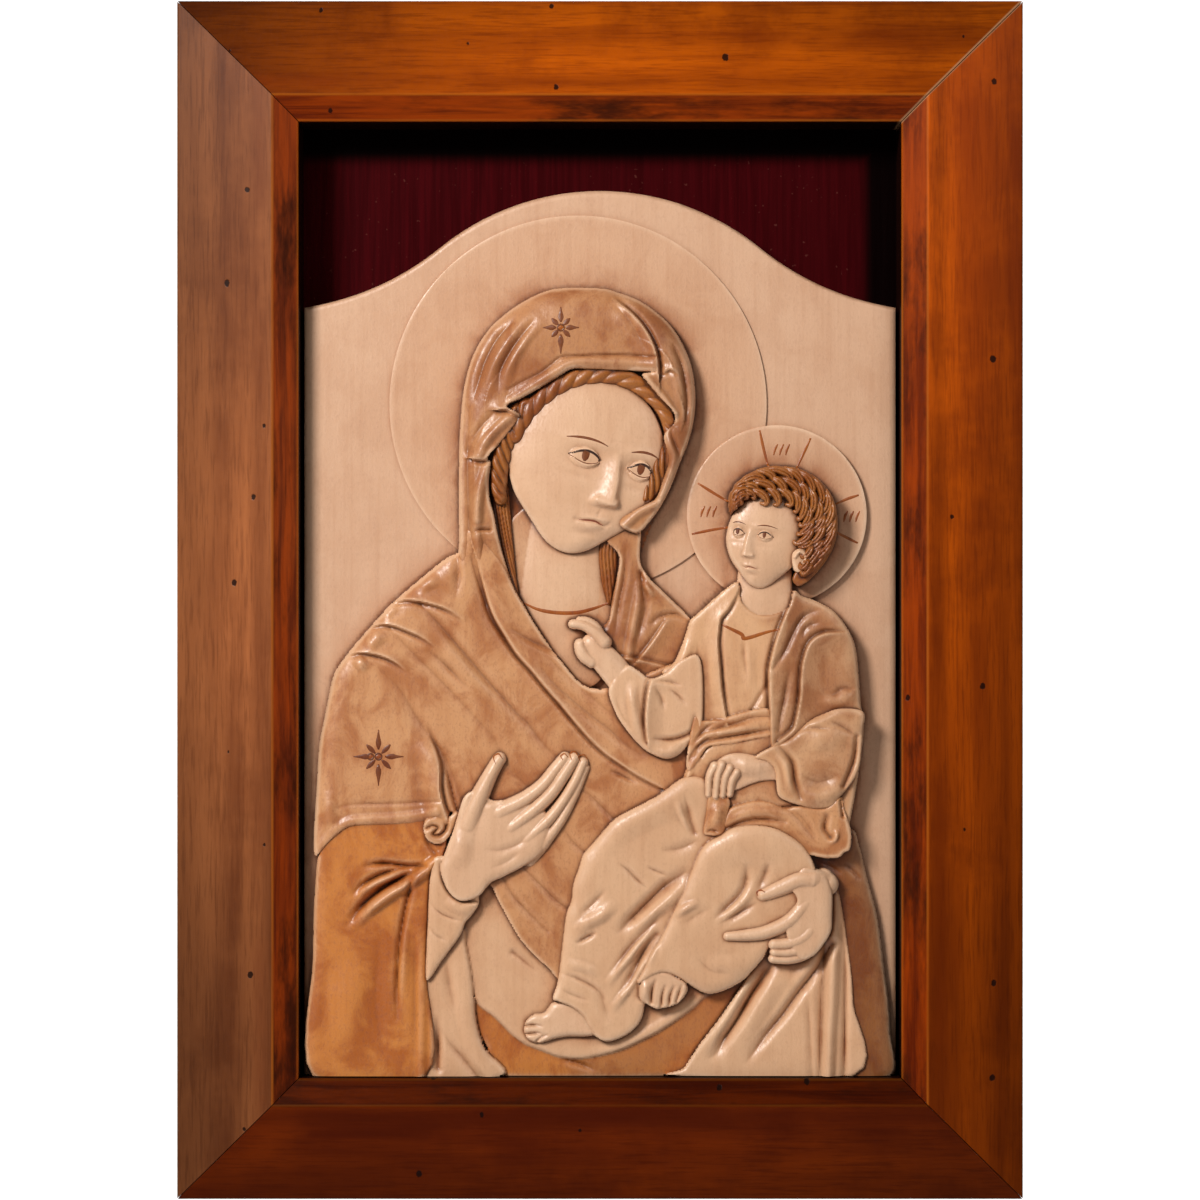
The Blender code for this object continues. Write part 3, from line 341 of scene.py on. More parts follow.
class Head:
    """A head in low relief: an egg leaning and turned to one side, with plain even features.

    Across the face s runs from its middle line, and v from the chin at -1 to the crown at 1.
    """

    def __init__(self, x, y, half_width, half_height, lean, turn, foot, rise, relief):
        self.stain = "skin"
        self.middle, self.half = (x, y), (half_width, half_height)
        self.lean, self.turn = math.radians(lean), math.radians(turn)
        self.foot, self.rise, self.relief = foot, rise, relief
        self.line = self.outline()

    def outline(self):
        turn = np.linspace(0, 2 * math.pi, 140, endpoint=False)
        v = np.sin(turn)
        u = np.cos(turn) * self.jaw(v)
        dx, dy = u * self.half[0], v * self.half[1]
        x = self.middle[0] + dx * math.cos(self.lean) + dy * math.sin(self.lean)
        y = self.middle[1] - (dy * math.cos(self.lean) - dx * math.sin(self.lean))
        return np.column_stack([x, y, np.ones(x.shape)])

    def jaw(self, v):
        return 1 - 0.18 * ease(-v) - 0.12 * ease((-v - 0.45) * 2.5)

    reach = Layer.reach
    rim = Layer.rim

    def height(self, x, y):
        dx, dy = x - self.middle[0], self.middle[1] - y
        u = (dx * math.cos(self.lean) - dy * math.sin(self.lean)) / self.half[0]
        v = (dx * math.sin(self.lean) + dy * math.cos(self.lean)) / self.half[1]
        u = u / self.jaw(v)
        inside = u * u + v * v < 1.001
        bump = np.zeros(x.shape)
        for _ in range(5):
            back = u - PARALLAX * bump * math.sin(self.turn)
            deep = np.sqrt(np.clip(1 - back**2 - v**2, 0, 1))
            turned = back * math.cos(self.turn) - deep * math.sin(self.turn)
            bump = self.features(turned, v)
        round_form = np.sqrt(np.clip(1 - u**2 - v**2, 0, 1))
        return np.where(inside, self.foot + self.rise * round_form + self.relief * bump, NOTHING)

    def spot(self, across, v):
        """Place on the pattern of a point given across and up the face."""
        across, v = np.asarray(across, float), np.asarray(v, float)
        deep = np.sqrt(np.clip(1 - across**2 - v**2, 0, 1))
        u = across * math.cos(self.turn) + deep * math.sin(self.turn)
        u = (u + PARALLAX * self.features(across, v) * math.sin(self.turn)) * self.jaw(v)
        dx, dy = u * self.half[0], v * self.half[1]
        x = self.middle[0] + dx * math.cos(self.lean) + dy * math.sin(self.lean)
        y = self.middle[1] - (dy * math.cos(self.lean) - dx * math.sin(self.lean))
        return x, y

    def features(self, across, v):
        """Relief of even features: each is a bell curve or an arc about its place across and up the face.

        The eyes lie at mid height, the nose half way from them to the chin, the mouth a third below it.
        """
        s = np.abs(across)

        def swell(x0, y0, wide, high):
            return np.exp(-(((s - x0) / wide) ** 2) - ((v - y0) / high) ** 2)

        run = np.clip((0.16 - v) / 0.52, 0, 1.2)
        nose = (0.20 + 0.72 * run**1.2) * np.exp(-((across / (0.075 + 0.06 * run)) ** 2))
        nose *= ease((0.26 - v) * 5) * ease((v + 0.43) * 14)
        wings = 0.30 * swell(0.125, -0.345, 0.06, 0.055)
        t = (s - EYE_APART) / EYE_HALF
        over = v - EYE_LINE
        lid = np.where(over > 0, 0.10, 0.075) * np.clip(1 - t * t, 0, 1) * np.sign(over)
        open_share = np.clip(over / np.where(np.abs(lid) < 1e-4, 1e-4, lid), 0, 3)
        ball = 0.42 * np.sqrt(np.clip(1 - t**2 - (over / 0.115) ** 2, 0, 1))
        rims = 0.17 * np.exp(-(((open_share - 1.0) / 0.22) ** 2)) * (np.abs(t) < 1)
        sockets = -0.46 * swell(0.34, 0.07, 0.27, 0.135) - 0.12 * swell(0.40, -0.13, 0.22, 0.05)
        brows = 0.24 * swell(0.34, 0.255, 0.30, 0.06)
        mouth = 0.22 * swell(0, -0.60, 0.32, 0.17)
        lips = 0.15 * swell(0.04, -0.558, 0.17, 0.032) + 0.18 * swell(0, -0.648, 0.15, 0.04)
        lips -= 0.26 * np.exp(-((s / 0.23) ** 4) - ((v - MOUTH_LINE - lip_wave(s)) / 0.017) ** 2)
        lips -= 0.10 * swell(0.25, -0.60, 0.05, 0.05) + 0.08 * swell(0, -0.49, 0.03, 0.05)
        chin = 0.26 * swell(0, -0.87, 0.24, 0.10) - 0.16 * swell(0, -0.735, 0.20, 0.04)
        cheeks = 0.12 * swell(0.52, -0.28, 0.24, 0.20)
        return nose + wings + sockets + ball + rims + brows + mouth + lips + chin + cheeks


# The carving, layer by layer, back to front


def haloes():
    return [
        Disc("halo", 578, 405, 189, 1.1, 0.8),
        Disc("halo", 777, 516, 90, 2.3, 1.6, slope=(777, 516, 0.006, 0.006)),
    ]


def right_sleeve():
    path = (
        "790,858 820,848 851,830 859,845,12 867,877,14 878,920,14 885,973,14 889,1003,14 891,1034,14 "
        "893,1076,14 840,1076 830,960 810,900"
    )
    folds = [Groove("822,861 832,868 841,875", 0.8, 5), Groove("843,863 853,871 861,881", 0.8, 5)]
    return [Layer("deep_brown", path, 6.0, slope=(840, 960, -0.01, 0), folds=folds)]


def pale_folds():
    path = (
        "676,1076 684,1068,5 700,1044,5 717,1022,5 733,999,5 747,977,5 765,945 800,925 825,880 835,881,5 "
        "843,914,5 847,942,5 851,973,5 853,1003,5 854,1076,5"
    )
    folds = [
        Groove("774,960 761,981 749,999 737,1020 725,1038 717,1052 707,1060", 3.2, 11, (0.3, 1, 1, 0.8, 0)),
        Ridge("760,968 747,987 735,1006 722,1026 709,1042 697,1058", 1.2, 11),
        Ridge("785,963 770,988 757,1010 744,1032 731,1052", 1.0, 14),
        Groove(
            "832,944 818,967 806,983 794,999 782,1016 767,1034 755,1050 743,1066", 2.4, 9, (1, 1, 1, 0.8, 0)
        ),
        Ridge("822,950 806,972 795,988", 1.0, 12),
        Ridge("836,900 833,940 832,973 831,1003 829,1034 827,1080", 1.8, 9, (0.5, 1, 1, 1)),
        Groove("829,900 824,960 821,1000 819,1080", 1.2, 9, (0, 1, 1, 1)),
        Groove("842,920 845,960 845,1003 844,1080", 1.3, 7, (0, 1, 1, 1)),
        Groove("806,979 809,1024 812,1080", 0.7, 7, (0, 1, 1)),
        Ridge("816,1000 816,1040 818,1080", 0.5, 9, (0, 1, 1)),
    ]
    return [Layer("pale", path, 7.2, slope=(800, 1000, 0.004, 0), folds=folds)]


def foot_cloth():
    """The brown band, the pale lap that hangs over it, and the pale strip beside the long sleeve."""
    band = (
        "470,985 500,960 720,940 748,976,4 733,999,6 718,1022,6 705,1039,6 692,1057,6 680,1076,6 480,1076 "
        "488,1052 478,1030"
    )
    lap = (
        "462,925 478,890 500,880 640,900 740,960 718,989,5 707,996,5 692,1009,5 674,1022,5 657,1033,5 "
        "639,1042,5 622,1050,5 605,1055,5 583,1059,5 561,1058,5 544,1052,5 526,1045,5 513,1036,5 495,1018,5 "
        "475,1000,5 468,960"
    )
    strip = (
        "424,940 445,940 463,928,4 466,946,5 470,967,5 473,989,5 475,1014,5 479,1034,5 487,1052,5 "
        "503,1076,5 424,1076"
    )
    lap_folds = [
        Groove("513,953 522,960 538,973", 0.9, 6, (1, 0.7, 0)),
        Ridge("583,1055 622,1045 657,1028 692,1004 712,988", 0.6, 9),
    ]
    strip_folds = [
        Groove("446,955 449,983 455,1012", 1.0, 9, (0, 1, 0)),
        Groove("437,1020 438,1040 438,1068", 2.4, 8, (0.2, 1, 0.6)),
        Groove("440,1026 451,1044 463,1058 480,1080", 1.3, 9, (0, 1, 1)),
        Ridge("458,960 463,990 466,1020 474,1048 488,1076", 0.8, 12, (0, 1, 1)),
    ]
    return [
        Layer("brown", band, 4.3, folds=[Groove("560,1060 567,1061 581,1065 596,1071", 1.2, 6)]),
        Layer("pale", lap, 5.4, folds=lap_folds),
        Layer("pale", strip, 7.0, folds=strip_folds),
    ]


def cloak():
    """The mantle over shoulder and breast, with the hem of its short sleeve and the curl at the hem's end."""
    path = (
        "470,530 459,552,14 446,559,18 421,579,20 391,605,20 369,629,20 347,655,20 334,675,20 328,700,20 "
        "324,720,20 320,740,20 318,760,20 317,780,20 315,814,16 314,837,10 316,856,3 330,842,3 346,829,3 "
        "360,826,3 400,825,3 421,823,3 437,820,3 447,825,3 452,812,3 470,840 470,900 488,884,3 500,904,3 "
        "511,924,3 520,939,3 533,954,3 548,968,3 562,982,3 575,975 600,900 640,850 690,830 700,800 700,700 "
        "690,660 600,690 560,660 520,600 500,560"
    )
    shoulder = [
        Lap("386,607 401,602 414,602 430,605 446,610 458,617 467,624", 1.5, 16, side=-1),
        Lap("364,631 380,626 394,627 410,633 423,639 437,649", 1.7, 17, side=-1),
        Lap("345,657 359,654 373,655 387,659 398,665 408,673", 1.7, 16, side=-1),
        Ridge("398,603 389,611 380,620", 1.0, 9),
        Ridge("384,633 374,641 366,649", 1.2, 10),
        Ridge("366,660 357,669", 1.0, 10),
        Ridge("440,578 428,584 416,592", 1.0, 9),
        Groove("457,556 458,575 456,600", 1.2, 8, (0.5, 1, 0)),
    ]
    long_folds = [
        Groove(
            "421,606 437,622 455,643 474,665 492,686 506,701 517,714 529,725 541,741 556,757", 1.5, 9,
            (0.6, 1, 1, 0.8, 0.3),
        ),
        Ridge("432,630 452,655 472,678 492,700", 0.7, 11),
        Groove(
            "391,631 414,654 437,677 460,701 478,721 494,738 507,764 530,790", 0.8, 9, (0.6, 1, 0.7, 0.5, 0.6)
        ),
        Groove("430,652 446,666 470,691", 1.4, 8, (0.2, 1, 0)),
        Groove(
            "371,655 386,675 401,691 419,721 433,741 446,759 458,790 466,810", 1.5, 14,
            (0.1, 0.4, 0.8, 1, 1, 1),
        ),
        Lap(
            "476,560 486,596 493,616 504,635 517,655 532,672 546,689 561,706 575,723 590,740 605,754 "
            "622,766 639,777 660,788",
            2.0, 30, (0.6, 1, 1, 1, 0.8, 0.6), side=-1,
        ),
        Groove("474,560 484,596 491,618 502,637 515,657 530,674", 1.5, 13, (0.5, 1, 1, 0.6, 0.2)),
        Groove("541,669 556,686 575,703 595,719 612,732 626,745 641,755", 0.9, 9, (0.3, 1, 1, 1, 0.5)),
        Groove(
            "512,630 527,639 541,646 556,653 571,660 590,671 605,685 612,692", 1.4, 7, (0.3, 1, 1, 1, 0.8)
        ),
        Groove("540,646 560,670 590,696 620,722 640,742", 0.4, 6),
        Groove("585,791 600,805 618,823", 0.8, 6, (0.4, 1, 1)),
        Groove("566,832 575,844 588,855", 0.7, 6, (0.4, 1, 1)),
        Groove("524,868 541,885 556,900 570,910", 0.9, 6, (0.5, 1, 1)),
        Groove("503,878 517,900 547,931", 0.9, 6, (0.5, 1, 0.5)),
        Groove("609,770 624,777 638,784", 1.2, 5),
    ]
    short_sleeve = [
        Ridge("419,742 430,762 434,785 437,806", 1.4, 17, (0, 0.8, 1, 1)),
        Lap("424,722 438,755 441,771 441,787 444,803 449,818", 2.0, 22, (0, 0.7, 1, 1)),
        Groove("444,757 450,782 455,802 459,815", 1.4, 5, (0.2, 1, 1)),
        Groove("330,812 348,805 380,804 410,803 440,801", 0.5, 4, (0, 1, 1, 1)),
        Ridge("322,846 333,834 347,823 362,820 400,818 436,813", 0.8, 7, (0.4, 1, 1, 1)),
        Ridge("334,838 330,815 329,790", 0.7, 10),
    ]
    curl = (
        "424,826,3 428,819,3 438,817,3 447,820,3 452,815,3 458,813,3 455,826,3 447,840,3 438,844,3 "
        "429,841,3 425,834,3"
    )
    turn = Groove("426,829 433,826 438,828 434,834 440,835 446,829 447,821", 2.0, 4, (0.5, 1, 1, 1))
    return [
        Layer(
            "mantle", path, 8.6, slope=(400, 760, 0.001, -0.004), folds=shoulder + long_folds + short_sleeve
        ),
        Layer("mantle", curl, 10.4, folds=[turn]),
    ]


def long_sleeve():
    path = (
        "322,846 350,815 430,812 446,838 443,856,3 437,864,5 431,875,5 429,898,5 428,922,5 427,942,5 "
        "427,977,5 426,1076,5 313,1076,10 313,960,12 315,890,12"
    )
    folds = [
        Groove("362,867 375,864 389,864 406,866 426,866", 2.4, 6, (0, 1, 1, 0.5)),
        Groove("354,893 363,885 377,877 392,871 408,868", 2.4, 7, (0.2, 1, 1, 0.3)),
        Ridge("358,894 374,884 392,877 408,871", 1.5, 6),
        Groove("351,922 359,910 371,898 385,887 402,878 420,869", 3.6, 9, (0.2, 1, 1, 1, 0.2)),
        Ridge("355,922 371,908 392,893 410,882 426,870 440,859", 2.6, 9, (0.2, 1, 1, 1, 0.8)),
        Groove("412,879 408,898 403,922 400,942 398,969 397,995 397,1024", 1.6, 6, (1, 1, 1, 1, 0)),
        Ridge("404,922 403,960 402,1000", 0.7, 8),
        Groove("416,930 415,990 416,1060", 0.7, 10),
        Ridge("418,900 421,960 421,1080", 0.8, 7, (0, 1, 1)),
        Groove("380,930 376,1000 384,1060", 0.8, 22),
        Ridge("352,960 346,1010 352,1060", 0.8, 24),
        Groove("424,835 432,850 440,858", 1.0, 5),
    ]
    return [Layer("brown", path, 8.0, slope=(370, 960, 0.006, 0), folds=folds)]


def hood():
    return [
        Layer(
            "hair",
            "496,400 560,362 640,365 684,400 680,470 650,530 625,600 600,640 540,640 515,600 492,540 485,450",
            3.2,
        ),
    ]


def breast_and_neck():
    breast = "500,540 519,597 530,612 556,632 572,642 600,668 622,640 614,600 604,560 606,520 540,500"
    return [
        Layer("pale", breast, 4.6, slope=(560, 620, 0, 0.01)),
        Limb(
            "skin", "572,520 564,560 560,600 556,640", (46, 46, 50, 60), (1.6, 1.8, 2.4, 2.8),
            (3.8, 3.8, 3.2, 2.4),
        ),
    ]


def mothers_face():
    return [Head(586, 466, 79, 90, 14, 22, 7.0, 5.2, 3.4)]


def mothers_hair():
    crown = "515,437 528,415 545,398 563,386 586,378 612,377 633,384 651,397 664,413 671,436"
    left = "526,408 513,424 507,440 503,455 500,470 499,490 501,500"
    right = "668,424 672,440 668,455 660,470 655,484 646,500"
    return [
        lock_of_hair("614,528 608,552 608,578 609,604", (11, 10, 8, 3), 3.5, 2.4, 60, 3.0, 0.6),
        lock_of_hair("499,480 502,520 508,560 517,597", (9, 9, 7, 2), 4.2, 2.4, 90, 3.0, 0.6),
        lock_of_hair(crown, (8, 9, 9, 9, 9, 9, 9, 8, 7, 6), 8.6, 2.2, 17, 0.6, 0.7),
        lock_of_hair(left, (9, 12, 10, 9, 9, 8, 6), 8.0, 2.4, 13, 1.3, 1.1),
        lock_of_hair(right, (6, 8, 9, 9, 9, 6), 8.0, 2.6, 13, 1.3, 1.1),
    ]


def veil():
    """The right fall of the veil behind the neck, then the veil over the head, down to the shoulder."""
    right_fall = (
        "606,540 622,526 640,528 640,560 648,577,4 665,594,6 690,619,6 702,640 690,678 640,690 598,660 "
        "600,632,3 609,620,3 612,600,3 616,582,3 619,557,3"
    )
    right_folds = [
        Groove("616,560 615,575 611,597 603,627", 1.4, 7, (0.4, 1, 1, 0.8)),
        Groove("626,545 624,579 619,604 614,641", 1.0, 6),
        Ridge("640,585 638,602 633,629 628,658", 1.2, 7, (0.4, 1, 1, 1)),
        Groove("646,590 645,612 636,645", 0.9, 7),
        Lap("664,624 652,642 638,660", 1.3, 12, (0.6, 1, 1), side=-1),
        Groove("652,624 661,617 676,615 688,621", 1.2, 6, (0.5, 1, 1, 0.4)),
        Ridge("642,582 654,598", 1.0, 5),
        Groove("641,574 643,594 645,606", 1.4, 6, (1, 1, 0)),
        Lap("618,657 642,661 672,668", 1.2, 9, (0.6, 1, 1)),
    ]
    path = (
        "474,650,3 466,620,3 456,596,5 457,575,12 459,545,18 459,520,20 459,470,24 460,430,30 464,388,36 "
        "473,356,40 488,331,42 506,314,44 522,303,44 540,294,44 560,289,44 600,289,44 620,294,44 640,302,42 "
        "660,316,40 675,332,36 686,352,32 692,370,28 695,390,24 695,410,22 692,430,18 687,447,14 680,464,10 "
        "672,485,9 665,500,8 655,516,7 640,533,5 627,531,3 620,526,3 622,519,3 637,510,3 655,500,3 "
        "662,483,3 668,464,3 666,450,3 664,436,3 674,424,3 673,414,3 660,400,3 646,383,3 642,376,3 "
        "655,374,3 640,373,3 615,372,3 590,371,3 572,371,3 555,381,3 540,390,3 522,400,3 507,408,3 "
        "520,417,3 512,430,3 500,445,3 488,459,3 491,464,3 489,482,4 490,500,4 494,515,4 499,540,4 "
        "506,565,4 515,590,4 530,620,6 520,650,6"
    )
    top_folds = [
        Groove("474,400 480,380 486,362 498,340 517,320", 1.4, 9, (0.3, 1, 1, 1, 0)),
        Ridge("486,396 492,372 504,350 522,326 540,312", 1.0, 10),
        Groove("498,398 500,375 508,358 520,340 537,320", 1.3, 8),
        Ridge("508,392 508,376 515,358 528,338 545,320", 0.9, 8),
        Lap("612,299 632,315 645,330 654,347 658,362 659,376", 2.2, 24, (0, 0.8, 1, 1, 1, 0.8)),
        Groove("612,305 627,320 640,342 648,356", 0.6, 7),
        Groove("672,343 681,365 685,382 687,405 686,432", 1.2, 5, (0, 1, 1, 1, 0)),
        Ridge("664,345 673,366 678,385 681,410", 0.7, 7),
        Groove(
            "508,392 522,384 540,375 552,366 562,359 580,358 600,357 625,357 656,359", 0.7, 3.5,
            (0.6, 1, 1, 1),
        ),
        Ridge("512,402 540,384 556,374 573,365 600,364 628,365 652,367", 1.0, 7, (0.8, 1, 1, 0.8)),
    ]
    left_folds = [
        Ridge("492,540 497,590 500,640", -3.2, 70, (0, 0.8, 1)),
        Groove("469,410 468,440 468,470 469,520 472,570 485,605", 1.2, 9, (0.3, 1, 1, 1, 1, 0.5)),
        Ridge("477,470 477,520 482,560 492,600", 0.8, 8),
        Groove("481,532 487,557 497,590 512,620", 1.6, 9, (0.3, 1, 1, 0.8)),
        Lap("500,412 508,412 519,418", 1.6, 14, (1, 1, 1), side=-1),
        Ridge("514,416 500,428 487,442 480,456", 1.3, 7, (0.8, 1, 1, 1)),
        Groove("500,409 489,420 476,436 470,452", 0.9, 7, (0, 1, 1, 0.5)),
        Lap("474,461 484,462 494,458", 1.6, 12, (1, 1, 1), side=-1),
        Ridge("487,468 482,486 479,505 478,520", 1.2, 7, (0.8, 1, 1, 0.8)),
        Groove("474,534 480,531 490,531", 1.2, 4, (0.3, 1, 1)),
    ]
    right_hem = [
        Ridge("646,380 662,398 674,416", 1.2, 6, (1, 1, 1)),
        Lap("660,378 670,372 680,378", 0.9, 8, side=-1),
        Groove("678,424 671,434 677,450 682,462", 1.0, 5),
        Ridge("671,432 670,446 674,462 668,484 660,502", 1.0, 6, (0.6, 1, 1, 1, 1)),
        Ridge("660,504 640,513 624,527", 1.2, 7, (1, 1, 1)),
    ]
    return [
        Layer("veil", right_fall, 7.2, folds=right_folds),
        Layer("veil", path, 11.4, slope=(575, 440, 0, -0.006), folds=top_folds + left_folds + right_hem),
    ]


def raised_hand():
    cuff = (
        "438,856,5 431,875,8 429,898,10 428,922,10 427,942,10 427,980,6 442,961,8 451,949,8 459,938,8 "
        "463,930,8 466,922,8 473,914,8 479,904,8 480,894,6 492,880 480,862"
    )
    cuff_folds = [
        Groove("441,864 444,881 451,892 463,899 478,901", 1.2, 5, (0.4, 1, 1, 1, 1)),
        Groove("430,902 440,912 453,918 467,921", 0.6, 4),
        Groove("429,926 438,936 449,940", 0.5, 4),
        Ridge("447,898 460,908 474,908", 0.8, 8),
    ]
    palm = (
        "441,868,10 446,851,12 452,834,12 459,812,12 466,795 480,790 492,800,6 503,800,6 513,800,6 "
        "526,800,6 537,804,8 546,812,8 550,824,8 548,838,10 541,854,12 524,866,12 505,876,12 490,883,10 "
        "480,895,8 462,900,4 449,890,4"
    )
    palm_folds = [
        Groove("478,806 488,802 500,803", 1.0, 7, (1, 0.8, 0)),
        Ridge("466,830 462,850 458,868", 0.8, 14),
        Groove("482,812 476,835 470,858", 0.5, 12, (1, 0.6, 0)),
        Groove("484,848 500,850 518,844 532,832", 0.7, 7),
        Groove("490,868 506,862 522,850", 0.5, 7),
    ]
    fingers = (
        (
            "462,846 468,826 478,801 487,782 496,765 500,759", (13, 13, 11, 9.5, 8, 7),
            (5.6, 7.4, 8, 8, 8, 8), (5.2, 5.4, 5.4, 5.4, 5.0, 4.2),
        ),
        (
            "530,862 545,842 561,820 571,802 579,785 586,768", (7, 7, 6, 5.5, 5, 4.5),
            (5.6, 7.2, 7.6, 7.6, 7.6, 7.6), (3.6, 3.6, 3.6, 3.4, 3.2, 3.0),
        ),
        (
            "510,856 531,836 549,819 563,801 575,781 583,763", (8, 8, 7, 6.5, 6.3, 6),
            (5.4, 7.4, 8, 8, 8.2, 8.2), (4.4, 4.4, 4.4, 4.3, 4.1, 3.7),
        ),
        (
            "494,842 516,824 536,808 552,792 565,773 574,759", (8.5, 8.5, 8, 7.6, 7.2, 6.6),
            (5.6, 7.8, 8.4, 8.6, 8.8, 8.8), (4.6, 4.6, 4.6, 4.6, 4.4, 4.0),
        ),
        (
            "480,824 504,810 525,799 543,785 556,769 565,758", (10, 10, 8.5, 7.6, 7.2, 6.4),
            (5.6, 7.8, 8.4, 8.6, 8.6, 8.6), (4.6, 4.6, 4.6, 4.5, 4.2, 3.8),
        ),
    )
    return [
        Layer("pale", cuff, 10.6, slope=(450, 900, 0, -0.012), folds=cuff_folds),
        Layer("skin", palm, 12.4, slope=(480, 850, -0.012, 0.010), folds=palm_folds),
        *(Limb("skin", *finger) for finger in fingers),
    ]


def childs_legs():
    far_leg = (
        "690,775,14 655,797,14 630,810,16 613,820,18 596,839,20 583,854,20 579,866,18 573,884,16 571,900,16 "
        "566,915,14 563,937,14 561,954,14 559,972,12 557,985,10 553,998,5 560,1001,3 572,1006,3 583,1014,3 "
        "590,1026,3 596,1036,4 607,1041,6 622,1037,8 635,1028,8 642,1017,8 646,1000,8 660,950 700,880 "
        "730,830 720,790"
    )
    far_folds = [
        Ridge("604,836 622,822 650,808 680,796", 1.0, 22, (0.5, 1, 1, 0.6)),
        Groove("618,862 628,870 639,881 650,890", 0.9, 5),
        Groove("646,866 657,871 670,876", 0.7, 4),
        Ridge("574,932 587,922 602,914 616,900", 1.3, 9),
        Groove("575,943 585,938 597,931", 1.3, 5),
        Groove("578,915 592,904 606,888", 0.9, 7),
        Groove("560,972 578,978 596,988 606,1000", 0.9, 5),
        Ridge("566,962 584,966 600,974", 0.7, 7),
        Groove("684,872 665,886 652,898 635,915 616,934", 2.6, 11, (0.3, 1, 1, 1, 0)),
        Ridge("690,880 671,897 652,913 630,931", 1.3, 9),
        Groove("660,914 643,934 628,950 612,975", 1.2, 8, (0.3, 1, 1, 0)),
        Ridge("657,923 640,942 623,963 606,985", 1.5, 6),
        Groove("656,934 643,952 634,972 622,995", 2.2, 9, (0.5, 1, 1, 0)),
        Ridge("654,948 639,969 627,989 610,1011", 1.4, 6),
        Groove("652,960 645,978 640,995", 1.6, 9, (0.4, 1, 0.6)),
        Groove("560,988 575,995 590,1000", 0.6, 5),
        Groove("660,850 680,848 700,838", 0.9, 9),
        Groove("683,790 687,806 694,832", 1.0, 7, (0, 1, 1)),
        Ridge("676,800 682,817 690,830", 0.8, 5),
        Groove("600,985 604,1004 610,1022", 0.6, 9),
    ]
    near_leg = (
        "735,826,14 718,835,16 705,843,18 696,856,18 689,874,16 681,893,14 672,913,12 663,932,12 652,952,10 "
        "646,963,8 638,982,4 652,974,3 665,971,4 681,978,8 692,986,12 706,993,14 721,991,14 741,981,14 "
        "753,969,12 763,957,10 771,944,8 800,930 815,880 806,850,8 784,832,8 761,825,8"
    )
    near_folds = [
        Ridge("708,850 735,842 770,848 795,865", 1.2, 26, (0.4, 1, 1, 0.4)),
        Groove("768,861 763,877 756,890", 1.1, 7),
        Groove("746,861 745,881 739,894 725,908 712,919", 1.5, 8, (0, 1, 1, 1, 0)),
        Ridge("752,880 744,896 730,911 716,924", 0.9, 8),
        Groove("717,924 735,914 757,901", 1.3, 7),
        Ridge("672,915 684,908 699,900", 1.0, 6),
        Groove("680,925 700,912 714,905", 0.5, 10),
        Ridge("705,960 725,965 745,962", 0.6, 14),
        Groove("646,955 652,945 660,936", 0.7, 6),
        Groove("695,955 712,970 735,972", 0.5, 9),
        Ridge("655,938 652,950 646,966", 0.8, 7),
    ]
    far_foot = (
        "526,1021,3 534,1014,6 544,1012,8 553,1002,8 570,1000,8 590,1010 600,1030 590,1036,6 570,1037,8 "
        "556,1039,7 540,1043,5 529,1040,4 524,1031,4"
    )
    far_toes = [
        Groove("523,1026 533,1025 544,1026", 1.4, 3, (1, 1, 0)),
        Groove("526,1034 536,1033 545,1034", 1.4, 3, (1, 1, 0)),
        Groove("537,1041 543,1036 550,1034", 1.0, 3, (1, 1, 0)),
    ]
    near_foot = (
        "642,978,3 652,973,3 665,971,3 677,976,5 686,983,5 687,991,5 680,1001,4 672,1005,3 664,1007,3 "
        "656,1008,3 648,1004,3 641,999,3 639,990,3"
    )
    toes = [
        Groove("655,980 652,990 651,1002", 1.6, 3.4, (0.3, 1, 1)),
        Groove("665,985 662,995 661,1006", 1.4, 3, (0.3, 1, 1)),
        Groove("674,985 670,995 669,1004", 1.4, 3, (0.3, 1, 1)),
        Groove("682,984 679,992 676,1001", 1.2, 3, (0.3, 1, 1)),
        Ridge("647,978 645,990 645,1000", 1.0, 6),
    ]
    return [
        Layer("skin", far_foot, 8.4, slope=(560, 1020, 0.02, 0), folds=far_toes, drop=0.9),
        Layer("pale", far_leg, 12.2, slope=(640, 840, 0, -0.012), folds=far_folds),
        Layer("skin", near_foot, 11.6, folds=toes, drop=1.0),
        Layer("pale", near_leg, 14.6, slope=(740, 850, 0, -0.018), folds=near_folds),
    ]


